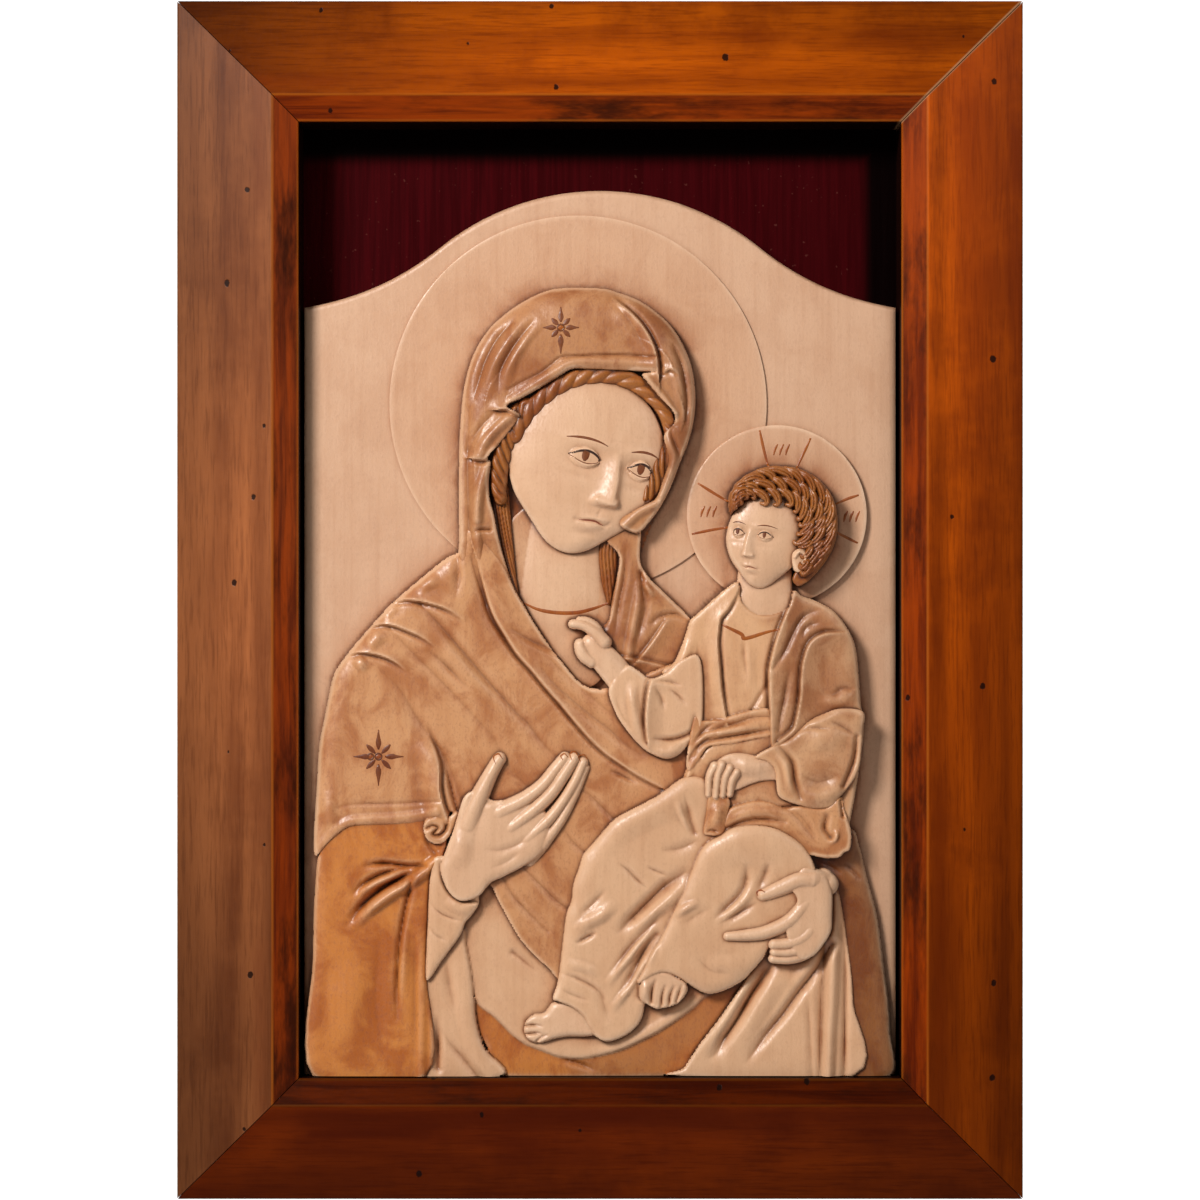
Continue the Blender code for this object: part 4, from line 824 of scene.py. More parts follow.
def childs_trunk():
    trunk = (
        "738,584,4 729,587,4 711,602,6 697,615,6 690,621,8 685,636,10 679,652,10 673,664,8 662,676,6 "
        "690,720 688,760 681,785,4 684,805,4 694,832,4 712,838 760,850 800,852 840,850 862,745,14 "
        "860,700,16 857,661,16 853,641,16 843,623,14 832,611,12 816,602,10 802,597,8 793,592,4 786,610 "
        "760,616 742,604"
    )
    trunk_folds = [
        Lap(
            "738,592 729,609 721,619 719,629 718,645 720,671 722,693 727,722", 1.5, 16, (0.3, 1, 1, 1, 1, 0.8)
        ),
        Groove("697,635 698,680 699,716", 0.5, 6),
        Ridge("688,640 682,660 672,676", 0.8, 8),
        Groove("743,641 744,661 747,680", 0.5, 5),
        Ridge("749,640 748,670 752,700", 0.4, 8),
        Lap(
            "792,592 786,611 779,629 773,648 769,666 768,680 769,707 770,747", 2.0, 26, (0.5, 1, 1, 1, 1, 1),
            side=-1,
        ),
        Groove("768,682 760,695 751,710", 0.8, 5, (0.5, 1, 1)),
        Lap(
            "778,741 791,730 795,719 799,696 800,677 802,661 809,643 823,634 843,633", 1.9, 24,
            (0.6, 1, 1, 1, 1, 1, 1, 1, 0.2),
        ),
        Groove("772,670 784,652 795,629 805,616 822,609", 1.3, 6, (0.3, 1, 1, 1, 0)),
        Groove("788,672 784,698 780,716 778,732", 1.2, 6, (0.2, 1, 1, 0.6)),
        Groove("800,640 806,628 820,622", 0.8, 5),
        Groove("832,697 841,689 855,690", 0.9, 6),
        Ridge("815,700 835,702 855,694", 0.7, 8),
        Ridge("715,640 714,670 717,705", 0.6, 9),
    ]
    waist = (
        "694,716,3 702,721,3 720,720,3 732,716,3 743,713,3 757,710,3 768,711,3 770,735,3 754,739,3 "
        "731,744,3 709,747,4 700,758,4 690,770,3 686,765,3 689,739,3"
    )
    waist_folds = [
        Groove("702,733 716,729 734,724 752,718 768,717", 1.0, 5, (0.4, 1, 1, 0.6)),
        Groove("694,757 701,744 718,739 742,735 769,730", 1.3, 5, (0.4, 1, 1, 1, 0.6)),
        Ridge("698,745 712,735 735,730 768,724", 0.9, 6),
        Groove("686,768 693,752 704,741 716,735", 1.2, 5, (0.5, 1, 1, 0.3)),
        Groove("693,745 700,735 706,728 716,722", 1.0, 4),
        Ridge("690,758 697,746 705,737", 0.8, 5),
    ]
    belly = "700,758 712,746 754,739 770,734 790,745 800,800 730,812 700,835 692,815 684,790 688,770"
    belly_folds = [Ridge("728,765 722,785 712,800", 0.8, 16), Groove("694,770 690,790 697,812", 0.8, 6)]
    lap_cloth = (
        "722,828,3 728,810,4 741,804,5 757,801,6 770,803,6 784,808,6 800,806 823,808,4 839,797,4 843,810,5 "
        "850,830,5 849,848,4 843,852,3 837,857,3 822,857,3 812,855,3 802,852,3 788,838,3 775,829,3 "
        "757,826,3 741,828,3 728,834,3"
    )
    lap_folds = [
        Groove("722,831 741,822 761,819 784,821", 1.4, 5, (1, 1, 1, 0.4)),
        Ridge("726,822 745,813 765,811 785,815", 0.6, 6),
        Groove("790,808 802,818 816,838", 0.7, 6),
        Groove("770,800 790,812 808,832 818,846", 0.6, 6),
        Groove("826,816 824,828 830,838", 1.8, 6, (0.6, 1, 0.8)),
        Groove("840,800 842,816", 1.6, 4, (1, 1)),
        Ridge("826,842 834,838 836,828", 1.2, 4),
    ]
    return [
        Layer("robe", trunk, 10.8, folds=trunk_folds),
        Layer("mantle", waist, 12.3, folds=waist_folds),
        Layer("robe", belly, 11.6, folds=belly_folds),
        Layer("mantle", lap_cloth, 13.4, folds=lap_folds),
        Limb("skin", "766,560 764,590 762,625", (26, 28, 40), (6.6, 7.0, 7.5), (3.2, 3.4, 2.6)),
    ]


def childs_arms():
    far_arm = (
        "626,667,4 638,671,6 650,679,8 664,674,8 682,660 700,660 702,720 694,735,6 681,753,8 667,759,8 "
        "651,754,8 640,746,8 626,730,8 615,712,8 609,688,5"
    )
    far_folds = [
        Lap("652,676 648,690 646,705 645,722 647,741", 2.0, 18, (0.5, 1, 1, 1, 0.6), side=-1),
        Ridge("633,680 632,700 636,722 643,740", 1.4, 8),
        Groove("615,693 620,712 632,732", 0.6, 6),
        Groove("656,739 670,740 683,737 693,730 695,712", 1.7, 6, (0.3, 1, 1, 1, 0)),
        Ridge("652,750 668,752 682,746", 0.9, 8),
        Groove("652,680 668,682 682,686", 0.9, 5),
        Groove("654,686 661,698 664,711", 0.7, 5),
        Groove("668,688 678,696 687,706", 0.7, 5),
    ]
    near_arm = (
        "790,738,6 807,722,6 823,714,6 839,709,6 862,712,8 862,730,12 861,744,12 859,764,12 855,776,12 "
        "846,789,12 839,797,10 830,807,10 811,809,10 798,805,8 786,801,6 777,794,4 774,770 766,761,3 "
        "754,757,3 770,747,4 780,744,5"
    )
    near_folds = [
        Groove("792,736 807,723 823,715 841,709", 1.0, 6, (0.4, 1, 1, 0)),
        Groove("798,733 809,728 829,729", 0.8, 5),
        Groove("828,720 843,728 858,738", 0.9, 6),
        Groove("856,737 853,760 843,786", 1.8, 6, (0.6, 1, 0.8)),
        Groove("780,748 791,762 794,780 799,797", 1.8, 7, (0.5, 1, 1, 0.6)),
        Ridge("776,753 784,764 788,781 791,795", 1.0, 7),
        Ridge("805,745 825,738 845,742", 1.0, 14),
        Groove("800,775 818,782 838,774", 1.3, 14),
        Ridge("800,792 820,796 840,786", 0.9, 10),
    ]
    scroll = "708,797,3 718,795,3 729,799,4 728,812,5 724,831,5 718,835,3 709,835,3 703,832,4 705,814,5"
    scroll_folds = [Ridge("719,800 716,815 713,830", 1.4, 9), Groove("705,832 711,830 719,832", 0.8, 3)]
    hand = (
        "704,787,4 710,769,5 720,758,5 734,753,6 752,755,6 774,762 780,778,5 761,781,5 748,785,5 "
        "736,790,4 722,792"
    )
    return [
        Limb("skin", "624,683 612,668 600,655 592,645", (15, 15, 14, 11), 8.2, (4.4, 4.2, 4.0, 3.4)),
        Limb("skin", "592,662 585,657 581,650 580,645", (7, 7, 7, 6), 8.2, (3.6, 3.8, 3.8, 3.4)),
        Limb("skin", "604,643 594,632 583,626 573,625", (8, 7, 5.5, 5), 8.6, (4.2, 4.0, 3.6, 3.2)),
        Limb("skin", "600,638 596,629 588,623 580,621", (7, 5.5, 5, 4), 8.4, (3.4, 3.0, 2.6, 2.2)),
        Layer("pale", far_arm, 12.6, folds=far_folds),
        Layer("robe", near_arm, 14.2, folds=near_folds),
        Layer("mantle", scroll, 13.6, folds=scroll_folds),
        Layer("skin", hand, 13.0, folds=[Ridge("730,765 750,766 772,770", 1.4, 12)]),
        Limb("skin", "736,772 731,781 729,794", (5, 5, 4), 11.6, (3.6, 3.4, 3.0)),
        Limb("skin", "729,768 724,779 722,795", (5, 5, 4), 11.6, (3.8, 3.6, 3.2)),
        Limb("skin", "721,765 717,777 715,796", (5, 5, 4), 11.6, (3.8, 3.6, 3.2)),
        Limb("skin", "714,766 709,777 708,794", (5, 4.5, 4), 11.4, (3.6, 3.4, 3.0)),
    ]


def holding_hand():
    palm = (
        "802,866,6 818,871,10 826,877,12 831,892,12 831,914,12 830,930,10 822,944,8 812,955,8 800,958,6 "
        "790,945 785,925 796,900 790,885"
    )
    fingers = (
        ("818,938 806,952 790,958 772,958", (7, 6, 5.2, 4.5), (9, 10.4, 10.6, 10.6), (3.4, 3.2, 3.0, 2.6)),
        ("820,926 804,945 789,951 774,951", (8, 7, 6, 5), (9.4, 11, 11.2, 11.2), (3.8, 3.6, 3.4, 3.0)),
        ("820,914 804,935 788,942 773,943", (9, 8, 6.8, 6), (9.6, 11.4, 11.8, 11.8), (4.0, 3.8, 3.4, 3.0)),
        (
            "822,880 812,894 800,908 787,921 765,931 745,934 727,935", (12, 10, 9, 8.5, 7.5, 6.5, 5),
            (8.4, 10.4, 11, 11.4, 12, 12.2, 12.2), (4.6, 4.6, 4.6, 4.4, 3.8, 3.4, 2.8),
        ),
        (
            "826,884 812,879 798,879 782,886 768,892 762,894", (12, 11, 10, 9.5, 8.5, 7),
            (9, 11.6, 12, 12, 12, 12), (4.6, 4.6, 4.6, 4.4, 4.0, 3.6),
        ),
    )
    return [
        Layer("skin", palm, 15.0, slope=(810, 910, 0, -0.01)),
        *(Limb("skin", *finger) for finger in fingers),
    ]


def childs_face():
    return [Head(764, 541, 38, 49, 8, -24, 10.2, 4.4, 2.0)]


def childs_hair():
    """A cap under three rows of short locks, bent like commas, from its outer line to the hairline."""
    cap = (
        "731,516,4 729,503,5 735,488,7 745,477,8 758,471,10 775,468,10 795,469,10 812,477,10 826,489,10 "
        "834,504,10 837,522,10 836,537,10 831,552,8 824,564,8 814,576,6 805,584,4 797,587,4 792,581,3 "
        "795,573,3 801,570 804,560 800,550,4 797,535,4 799,518,4 795,508,4 784,503,4 762,502,4 754,496,4 "
        "747,496,4 737,503,4"
    )
    outer = smooth_line("731,512 735,490 757,473 785,470 812,479 831,502 834,526 827,550 806,576")
    inner = smooth_line("735,509 746,498 762,502 785,505 798,513 800,528 798,542 801,552 800,572")
    shares = np.linspace(0, 1, len(outer))

    def lock(share, depth, size, foot, rise):
        """A tapered lock through shares of the hair's length and of its depth, which is 1 at the hairline."""
        reach = [np.interp(share, shares, inner[:, i] - outer[:, i]) for i in range(2)]
        x, y = (np.interp(share, shares, outer[:, i]) + depth * reach[i] for i in range(2))
        path = " ".join(f"{a:.1f},{b:.1f}" for a, b in zip(x, y))
        taper = np.array([0.5, 0.9, 1.0, 0.95, 0.75, 0.4])
        nick = Groove(path, 0.7, 1.6)
        return Limb("hair", path, size * taper, foot, rise * taper, [nick])

    locks = [Layer("hair", cap, 12.0)]
    bend = np.array([-0.042, -0.010, 0.014, 0.022, 0.012, -0.008])
    rows = (
        (0.00, 15, 1.5, 4.6, 12.2, 0.00), (0.30, 14, 1.3, 4.8, 12.8, 0.03), (0.62, 14, 1.0, 4.4, 13.4, 0.00)
    )
    for top, count, swing, size, foot, shift in rows:
        for k in range(count):
            share = 0.03 + shift + 0.93 * k / (count - 1) + bend * swing * (1 + 0.3 * math.sin(2.7 * k))
            depth = top + np.array([0.0, 0.08, 0.20, 0.34, 0.44, 0.46]) * (1 + 0.12 * math.cos(1.9 * k))
            locks.append(lock(np.clip(share, 0, 1), depth, size, foot + 0.25 * math.sin(2.1 * k), 3.0))
    return locks


def childs_ear():
    rim = Ridge("794,558 798,553 803,555 804,563 800,570", 1.0, 3, (0.6, 1, 1, 1, 0.5))
    return [
        Layer(
            "skin", "791,556,3 797,550,3 804,551,3 807,559,3 805,567,3 799,573,3 793,571,3", 14.6, folds=[rim]
        ),
    ]


MOTHERS_HALO, CHILDS_HALO = haloes()

# Each piece of the carving, with its layers and the width of its mesh's squares
CARVING = {
    "right_sleeve": (right_sleeve(), 1.5),
    "pale_folds": (pale_folds(), 1.25),
    "foot_cloth": (foot_cloth(), 1.5),
    "mantle": (cloak(), 1.35),
    "long_sleeve": (long_sleeve(), 1.35),
    "hood_lining": (hood(), 2.3),
    "breast_and_neck": (breast_and_neck(), 1.35),
    "mother_face": (mothers_face(), 0.8),
    "mother_hair": (mothers_hair(), 0.75),
    "veil": (veil(), 1.02),
    "raised_hand": (raised_hand(), 0.9),
    "child_legs": (childs_legs(), 1.12),
    "child_body": (childs_trunk(), 1.12),
    "child_arms": (childs_arms(), 0.88),
    "holding_hand": (holding_hand(), 0.7),
    "child_face": (childs_face(), 0.54),
    "child_hair": (childs_hair(), 0.59),
    "child_ear": (childs_ear(), 0.5),
}


# From the pattern to meshes

JUST_WITHIN = 0.9999
SNAP_SHARE = 0.48
SIDE_TONE = 0.45
SHARP_ANGLE = math.radians(52)


def crown_depth(x):
    """How far the panel's top lies under its middle: an arc in the middle, then a cubic down to the shoulder.

    The arc is r - sqrt(r r - x x), and the cubic meets it at the same height and slope.
    """
    x = np.abs(x)
    run = PATTERN_WIDTH / 2 - CROWN_HALF_WIDTH
    chord = math.sqrt(CROWN_RADIUS**2 - CROWN_HALF_WIDTH**2)
    joint = CROWN_RADIUS - chord
    start = CROWN_HALF_WIDTH / chord * run
    end = SHOULDER_SLOPE * run
    t = (x - CROWN_HALF_WIDTH) / run
    fall = (SHOULDER_DROP - joint) * (3 * t**2 - 2 * t**3)
    hollow = joint + start * (t - 2 * t**2 + t**3) + fall + end * (t**3 - t**2)
    crown = CROWN_RADIUS - np.sqrt(np.clip(CROWN_RADIUS**2 - x**2, 0, None))
    return np.where(x < CROWN_HALF_WIDTH, crown, hollow)


def place(x, y, height):
    """Places on the pattern, with heights in millimetres, as points in metres."""
    across = (x - PATTERN_MIDDLE) * ACROSS
    up = panel_low[2] + (PATTERN_FOOT - y) * UP
    return np.column_stack([across, GROUND - height * MM, up])


def top_of(layers, x, y):
    """Height of the highest layer, and which layer that is."""
    heights = np.full(x.shape, NOTHING)
    owner = np.zeros(x.shape, int)
    for k, layer in enumerate(layers):
        top = layer.height(x, y)
        owner = np.where(top > heights, k, owner)
        heights = np.maximum(heights, top)
    return heights, owner


def blurred(field, radius):
    """Field averaged with a bell curve of this radius, in rows and then in columns."""
    reach = int(3 * radius)
    bell = np.exp(-0.5 * (np.arange(-reach, reach + 1) / radius) ** 2)
    bell /= bell.sum()
    padded = np.pad(field, reach, mode="edge")
    rows = sum(w * padded[:, k : k + field.shape[1]] for k, w in enumerate(bell))
    return sum(w * rows[k : k + field.shape[0], :] for k, w in enumerate(bell))


class Hollows:
    """The whole carving as one field of heights, blurred finely and widely, to tell hollows from edges."""

    def __init__(self, layers):
        self.left, self.top = 296, 184
        right, foot = 905, 1084
        x, y = np.meshgrid(np.arange(self.left, float(right)), np.arange(self.top, float(foot)))
        heights, _ = top_of(layers, x.ravel(), y.ravel())
        field = np.maximum(heights, 0).reshape(x.shape)
        self.field, self.fine, self.wide = field, blurred(field, 2.2), blurred(field, 12)

    def read(self, field, x, y):
        i = np.clip(y - self.top, 0, field.shape[0] - 1.001)
        j = np.clip(x - self.left, 0, field.shape[1] - 1.001)
        i0, j0 = i.astype(int), j.astype(int)
        fi, fj = i - i0, j - j0
        upper = field[i0, j0] * (1 - fj) + field[i0, j0 + 1] * fj
        lower = field[i0 + 1, j0] * (1 - fj) + field[i0 + 1, j0 + 1] * fj
        return upper * (1 - fi) + lower * fi


# Each stain's colour and how deeply it soaks in
STAINS = {
    "ground": ((0.665, 0.402, 0.252), 0.40),
    "halo": ((0.62, 0.335, 0.185), 0.55),
    "pale": ((0.715, 0.425, 0.245), 1.15),
    "skin": ((0.73, 0.450, 0.275), 0.85),
    "robe": ((0.71, 0.400, 0.210), 1.35),
    "mantle": ((0.61, 0.295, 0.130), 1.2),
    "veil": ((0.50, 0.225, 0.092), 1.2),
    "brown": ((0.59, 0.210, 0.044), 1.2),
    "deep_brown": ((0.28, 0.098, 0.026), 1.1),
    "hair": ((0.36, 0.115, 0.014), 3.2),
}
# Dark stain that settles in hollows, together with painted shade there and where pieces meet
HOLLOW_STAIN_AND_SHADE = np.array((0.095, 0.030, 0.009))
WASH = np.array((0.36, 0.145, 0.055))

# Broad darker washes of some stains, on the veil's right side also painted shade: the middle line, the width
# to each side and the strength
WASHES_AND_PAINTED_SHADE = {
    "robe": (("788,600 800,650 795,700 785,735", 38, 0.62), ("826,630 840,690 838,760 812,792", 42, 0.42)),
    # On the veil's right side the wash is stain and painted shade
    "veil": (("662,322 684,365 690,410 686,445 672,480", 26, 0.62),),
    "brown": (("590,1074 650,1056 700,1022 742,985", 34, 0.58),),
}
SHADE = np.array((0.66, 0.49, 0.37))
# Colour of worn edges, which also serves as a painted highlight on crests
WEAR_AND_HIGHLIGHT = np.array((0.88, 0.62, 0.42))


def washed(stain, x, y):
    """A stain's colour, darker in its washes, painted shade among them, which fade as (1 - d d / w w)
    squared, d from a line w wide.
    """
    colours = np.tile(STAINS[stain][0], (len(x), 1))
    for path, width, strength in WASHES_AND_PAINTED_SHADE.get(stain, ()):
        near = nearest(x, y, smooth_line(path), False)
        share = strength * np.clip(1 - (near["distance"] / width) ** 2, 0, 1)[:, None] ** 2
        colours = colours * (1 - share) + WASH * share
    return colours


def stained_with_painted_light(stain, x, y, height, hollows):
    """Vertex colours: a warm shade lies round raised forms, dark stain with painted shade fills hollows, and
    edges are worn and carry a painted highlight.

    Each grows with how far the point lies under, or for wear and highlight over, the field of heights blurred
    about it.
    """
    colour, soak = washed(stain, x, y), STAINS[stain][1]
    fine = hollows.read(hollows.fine, x, y) - height
    wide = hollows.read(hollows.wide, x, y) - height
    # Dark stain and painted shade in hollows
    dark = np.clip(fine * 0.72 * soak, 0, 0.9)[:, None]
    shade = np.clip(wide * 0.26 * min(soak, 1.3), 0, 0.8)[:, None]
    # Worn edges, lighter: wear together with a painted highlight
    wear_and_highlight = np.clip(-fine * 0.9, 0, 0.7)[:, None] * 0.9 / max(soak, 1) ** 2
    bright = (colour + (WEAR_AND_HIGHLIGHT - colour) * wear_and_highlight) * (1 - shade * (1 - SHADE))
    return bright * (1 - dark) + HOLLOW_STAIN_AND_SHADE * dark


def set_colours(mesh, colours):
    # The stain attribute carries the stains together with painted shade in hollows and painted highlights on
    # edges
    layer = mesh.color_attributes.new("stain", "FLOAT_COLOR", "POINT")
    rgba = np.ones((len(mesh.vertices), 4), np.float32)
    rgba[:, :3] = colours
    layer.data.foreach_set("color", rgba.ravel())


def closed_mesh(name, points, quads, floor, colours):
    """Top surface of quads, closed by straight sides down to a floor and a flat back."""
    ahead = np.roll(quads, -1, axis=1)
    pairs = np.stack([quads.ravel(), ahead.ravel()], 1)
    count = len(points)
    key = np.minimum(pairs[:, 0], pairs[:, 1]) * count + np.maximum(pairs[:, 0], pairs[:, 1])
    _, first, times = np.unique(key, return_index=True, return_counts=True)
    rim = pairs[first[times == 1]]
    used = np.unique(rim)
    below = np.full(count, -1)
    below[used] = count + np.arange(len(used))
    low = points[used].copy()
    low[:, 1] = floor
    sides = np.stack([rim[:, 1], rim[:, 0], below[rim[:, 0]], below[rim[:, 1]]], 1)
    mesh = bpy.data.meshes.new(name)
    everything = np.vstack([points, low])
    faces = np.vstack([quads, sides])
    mesh.from_pydata(everything.tolist(), [], faces.tolist())
    work = bmesh.new()
    work.from_mesh(mesh)
    bottom = [edge for edge in work.edges if edge.is_boundary]
    bmesh.ops.triangle_fill(work, edges=bottom, use_beauty=False)
    bmesh.ops.recalc_face_normals(work, faces=work.faces)
    work.to_mesh(mesh)
    work.free()
    set_colours(mesh, np.vstack([colours, colours[used] * SIDE_TONE]))
    mesh.shade_smooth()
    mesh.set_sharp_from_angle(angle=SHARP_ANGLE)
    made = bpy.data.objects.new(name, mesh)
    bpy.context.collection.objects.link(made)
    return made


def kept_cells(inside, columns, rows):
    """Corners of the cells of a grid, turned to face the front, where all four corners are kept."""
    k = np.arange(columns * rows).reshape(rows, columns)
    cells = np.stack([k[:-1, :-1], k[1:, :-1], k[1:, 1:], k[:-1, 1:]], -1).reshape(-1, 4)
    return cells[inside[cells].all(1)]


def carve(name, layers, step, hollows):
    """A grid of squares over the layers, cut to their joint shape, points near an outline drawn onto it."""
    low = np.min([layer.reach()[0] for layer in layers], axis=0) - step
    high = np.max([layer.reach()[1] for layer in layers], axis=0) + step
    columns, rows = (int(n) + 1 for n in (high - low) / step)
    x, y = np.meshgrid(low[0] + step * np.arange(columns), low[1] + step * np.arange(rows))
    x, y = x.ravel(), y.ravel()
    inside = np.zeros(x.shape, bool)
    moved_x, moved_y = x.copy(), y.copy()
    covered = np.zeros(x.shape)
    for layer in layers[::-1]:
        depth, on, rim_x, rim_y = layer.rim(x, y, SNAP_SHARE * step)
        free = on & (covered < 0.5)
        moved_x = np.where(free, rim_x, moved_x)
        moved_y = np.where(free, rim_y, moved_y)
        covered = np.maximum(covered, np.where(on | (depth > 0), 1, 0) * (layer is not layers[0]))
        inside |= on | (depth > 0)
    heights, owner = top_of(layers, moved_x, moved_y)
    inside &= (heights > NOTHING / 2) & (moved_y < PATTERN_FOOT + 0.3)
    colours = np.zeros((len(x), 3))
    for k, layer in enumerate(layers):
        mine = inside & (owner == k)
        if mine.any():
            colours[mine] = stained_with_painted_light(layer.stain, moved_x[mine], moved_y[mine], heights[mine], hollows)
    cells = kept_cells(inside, columns, rows)
    kept, cells = np.unique(cells, return_inverse=True)
    cells = cells.reshape(-1, 4)
    points = place(moved_x[kept], moved_y[kept], heights[kept])
    dress(closed_mesh(name, points, cells, GROUND + PIECE_FLOOR, colours[kept]))


def dress(piece):
    piece.data.materials.append(carved_wood)
    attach(piece, "root")
    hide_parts("carved_relief")


def panel_ground(hollows):
    """The arched panel: a grid bent to the outline, its edge rounded over."""
    step = 3.4
    columns = int(PATTERN_WIDTH / step) + 1
    rows = int((PATTERN_FOOT - PATTERN_TOP) / step) + 1
    u, v = np.meshgrid(np.linspace(-0.5, 0.5, columns), np.linspace(0, 1, rows))
    x = (PATTERN_MIDDLE + u * PATTERN_WIDTH).ravel()
    top = PATTERN_TOP + crown_depth(x - PATTERN_MIDDLE)
    y = top + v.ravel() * (PATTERN_FOOT - top)
    side = PATTERN_WIDTH / 2 - np.abs(x - PATTERN_MIDDLE)
    edge = np.minimum(side, (y - top) * 0.9)
    heights = -1.0 * (1 - ease(edge / 3.0)) ** 2
    colours = stained_with_painted_light("ground", x, y, heights, hollows)
    cells = kept_cells(np.ones(x.shape, bool), columns, rows)
    dress(closed_mesh("panel_ground", place(x, y, heights), cells, panel_high[1], colours))


def halo(name, disc, count, deepest, hollows):
    """A raised disc: a square grid of u and v from -1 to 1, drawn round, stained darker towards its middle.

    The place is u sqrt(1 - v v / 2) across and v sqrt(1 - u u / 2) down, in radii from the middle.
    """
    (x, y), radius = disc.middle, JUST_WITHIN * disc.radius
    u, v = (side.ravel() for side in np.meshgrid(np.linspace(-1, 1, count), np.linspace(-1, 1, count)))
    px, py = x + radius * u * np.sqrt(1 - v * v / 2), y + radius * v * np.sqrt(1 - u * u / 2)
    heights = disc.height(px, py)
    outer, inner = (stained_with_painted_light(stain, px, py, heights, hollows) for stain in ("ground", "halo"))
    away = np.hypot(px - x, py - y) / disc.radius
    share = (deepest * np.clip(1.5 - 1.15 * away, 0.18, 1))[:, None]
    cells = kept_cells(np.ones(px.shape, bool), count, count)
    colours = outer * (1 - share) + inner * share
    dress(closed_mesh(name, place(px, py, heights), cells, GROUND + PIECE_FLOOR, colours))


# Painted lines: thin strips of colour that lie on the carving

PAINT = np.array((0.36, 0.095, 0.008))
STAR_PAINT = np.array((0.19, 0.050, 0.010))
DARK_PAINT = np.array((0.045, 0.014, 0.006))

# Half width of the face that the strokes' widths are given for
STROKES_HALF_WIDTH = 79


def strip(x, y, widths, surface, colour):
    """A closed strip along a row of points: its half width tapers, and its edges dip into the surface.

    Each point gives a row across it, at its place plus or minus shares of the half width square to the path.
    """
    ahead_x, ahead_y = np.gradient(x), np.gradient(y)
    size = np.maximum(np.hypot(ahead_x, ahead_y), 1e-6)
    half = spread(widths, np.linspace(0, 1, len(x)))
    offsets = np.array([-1.0, -0.75, 0.0, 0.75, 1.0])
    lifts = np.array([-0.05, 0.07, 0.09, 0.07, -0.05])
    px = x[:, None] - (ahead_y / size * half)[:, None] * offsets
    py = y[:, None] + (ahead_x / size * half)[:, None] * offsets
    height = surface(px.ravel(), py.ravel()) + np.tile(lifts, len(x))
    points = place(px.ravel(), py.ravel(), height)
    cells = kept_cells(np.ones(len(points), bool), len(offsets), len(x))
    return points, cells, np.tile(colour, (len(points), 1))


def join_strips(name, strips):
    """Strips as one piece; each is closed by a copy of itself a little deeper and a wall between the two."""
    points, faces, colours, start = [], [], [], 0
    for places, cells, tint in strips:
        count = len(places)
        columns = 5
        rows = count // columns
        under = places.copy()
        under[:, 1] += 0.3 * MM
        k = np.arange(count).reshape(rows, columns)
        ring = np.r_[k[0, :], k[1:, -1], k[-1, -2::-1], k[-2:0:-1, 0]]
        wall = np.stack([ring, np.roll(ring, -1), np.roll(ring, -1) + count, ring + count], 1)
        points += [places, under]
        faces.append(np.vstack([cells, cells[:, ::-1] + count, wall]) + start)
        colours += [tint, tint]
        start += 2 * count
    mesh = bpy.data.meshes.new(name)
    mesh.from_pydata(np.vstack(points).tolist(), [], np.vstack(faces).tolist())
    work = bmesh.new()
    work.from_mesh(mesh)
    bmesh.ops.recalc_face_normals(work, faces=work.faces)
    work.to_mesh(mesh)
    work.free()
    set_colours(mesh, np.vstack(colours))
    mesh.shade_smooth()
    made = bpy.data.objects.new(name, mesh)
    bpy.context.collection.objects.link(made)
    dress(made)


def along(path):
    line = smooth_line(path)
    return line[:, 0], line[:, 1]


def star(x, y, reach_x, reach_up, reach_down, diagonal):
    """Eight leaf-shaped rays about a dark berry, the upright and level ones longest."""
    rays = []
    for k in range(8):
        turn = math.pi / 4 * k
        reach = (reach_x, diagonal, reach_down, diagonal, reach_x, diagonal, reach_up, diagonal)[k]
        run = np.linspace(0.26, 1, 9) * reach
        swell = (0.8, 2.8, 3.2, 2.0, 1.1, 0.5) if k % 2 == 0 else (0.7, 2.2, 2.8, 2.2, 0.6)
        rays.append((x + run * math.cos(turn), y + run * math.sin(turn), swell, STAR_PAINT))
    return rays + berry(x, y, 3.2)


def berry(x, y, radius):
    turn = np.linspace(0, 2 * math.pi, 17)
    dark = 0.45 * PAINT
    across = np.linspace(-radius, radius, 7)
    return [
        (x + radius * np.cos(turn), y + radius * np.sin(turn), 1.0, dark),
        (x + across, np.full(7, y), (0.5, 2.0, 2.6, 2.0, 0.5), PAINT),
    ]


def nails():
    """Finger nails and toe nails: a thin dark curve round the end of each."""
    places = (
        "572,760 570,754 575,752 579,757",
        "581,762 579,757 584,755 588,760",
        "563,760 561,756 565,754 568,757",
        "496,764 494,757 499,754 503,759",
        "757,895 756,891 760,889 764,891",
    )
    return [(*along(path), (0.3, 0.8, 0.8, 0.3), PAINT) for path in places]


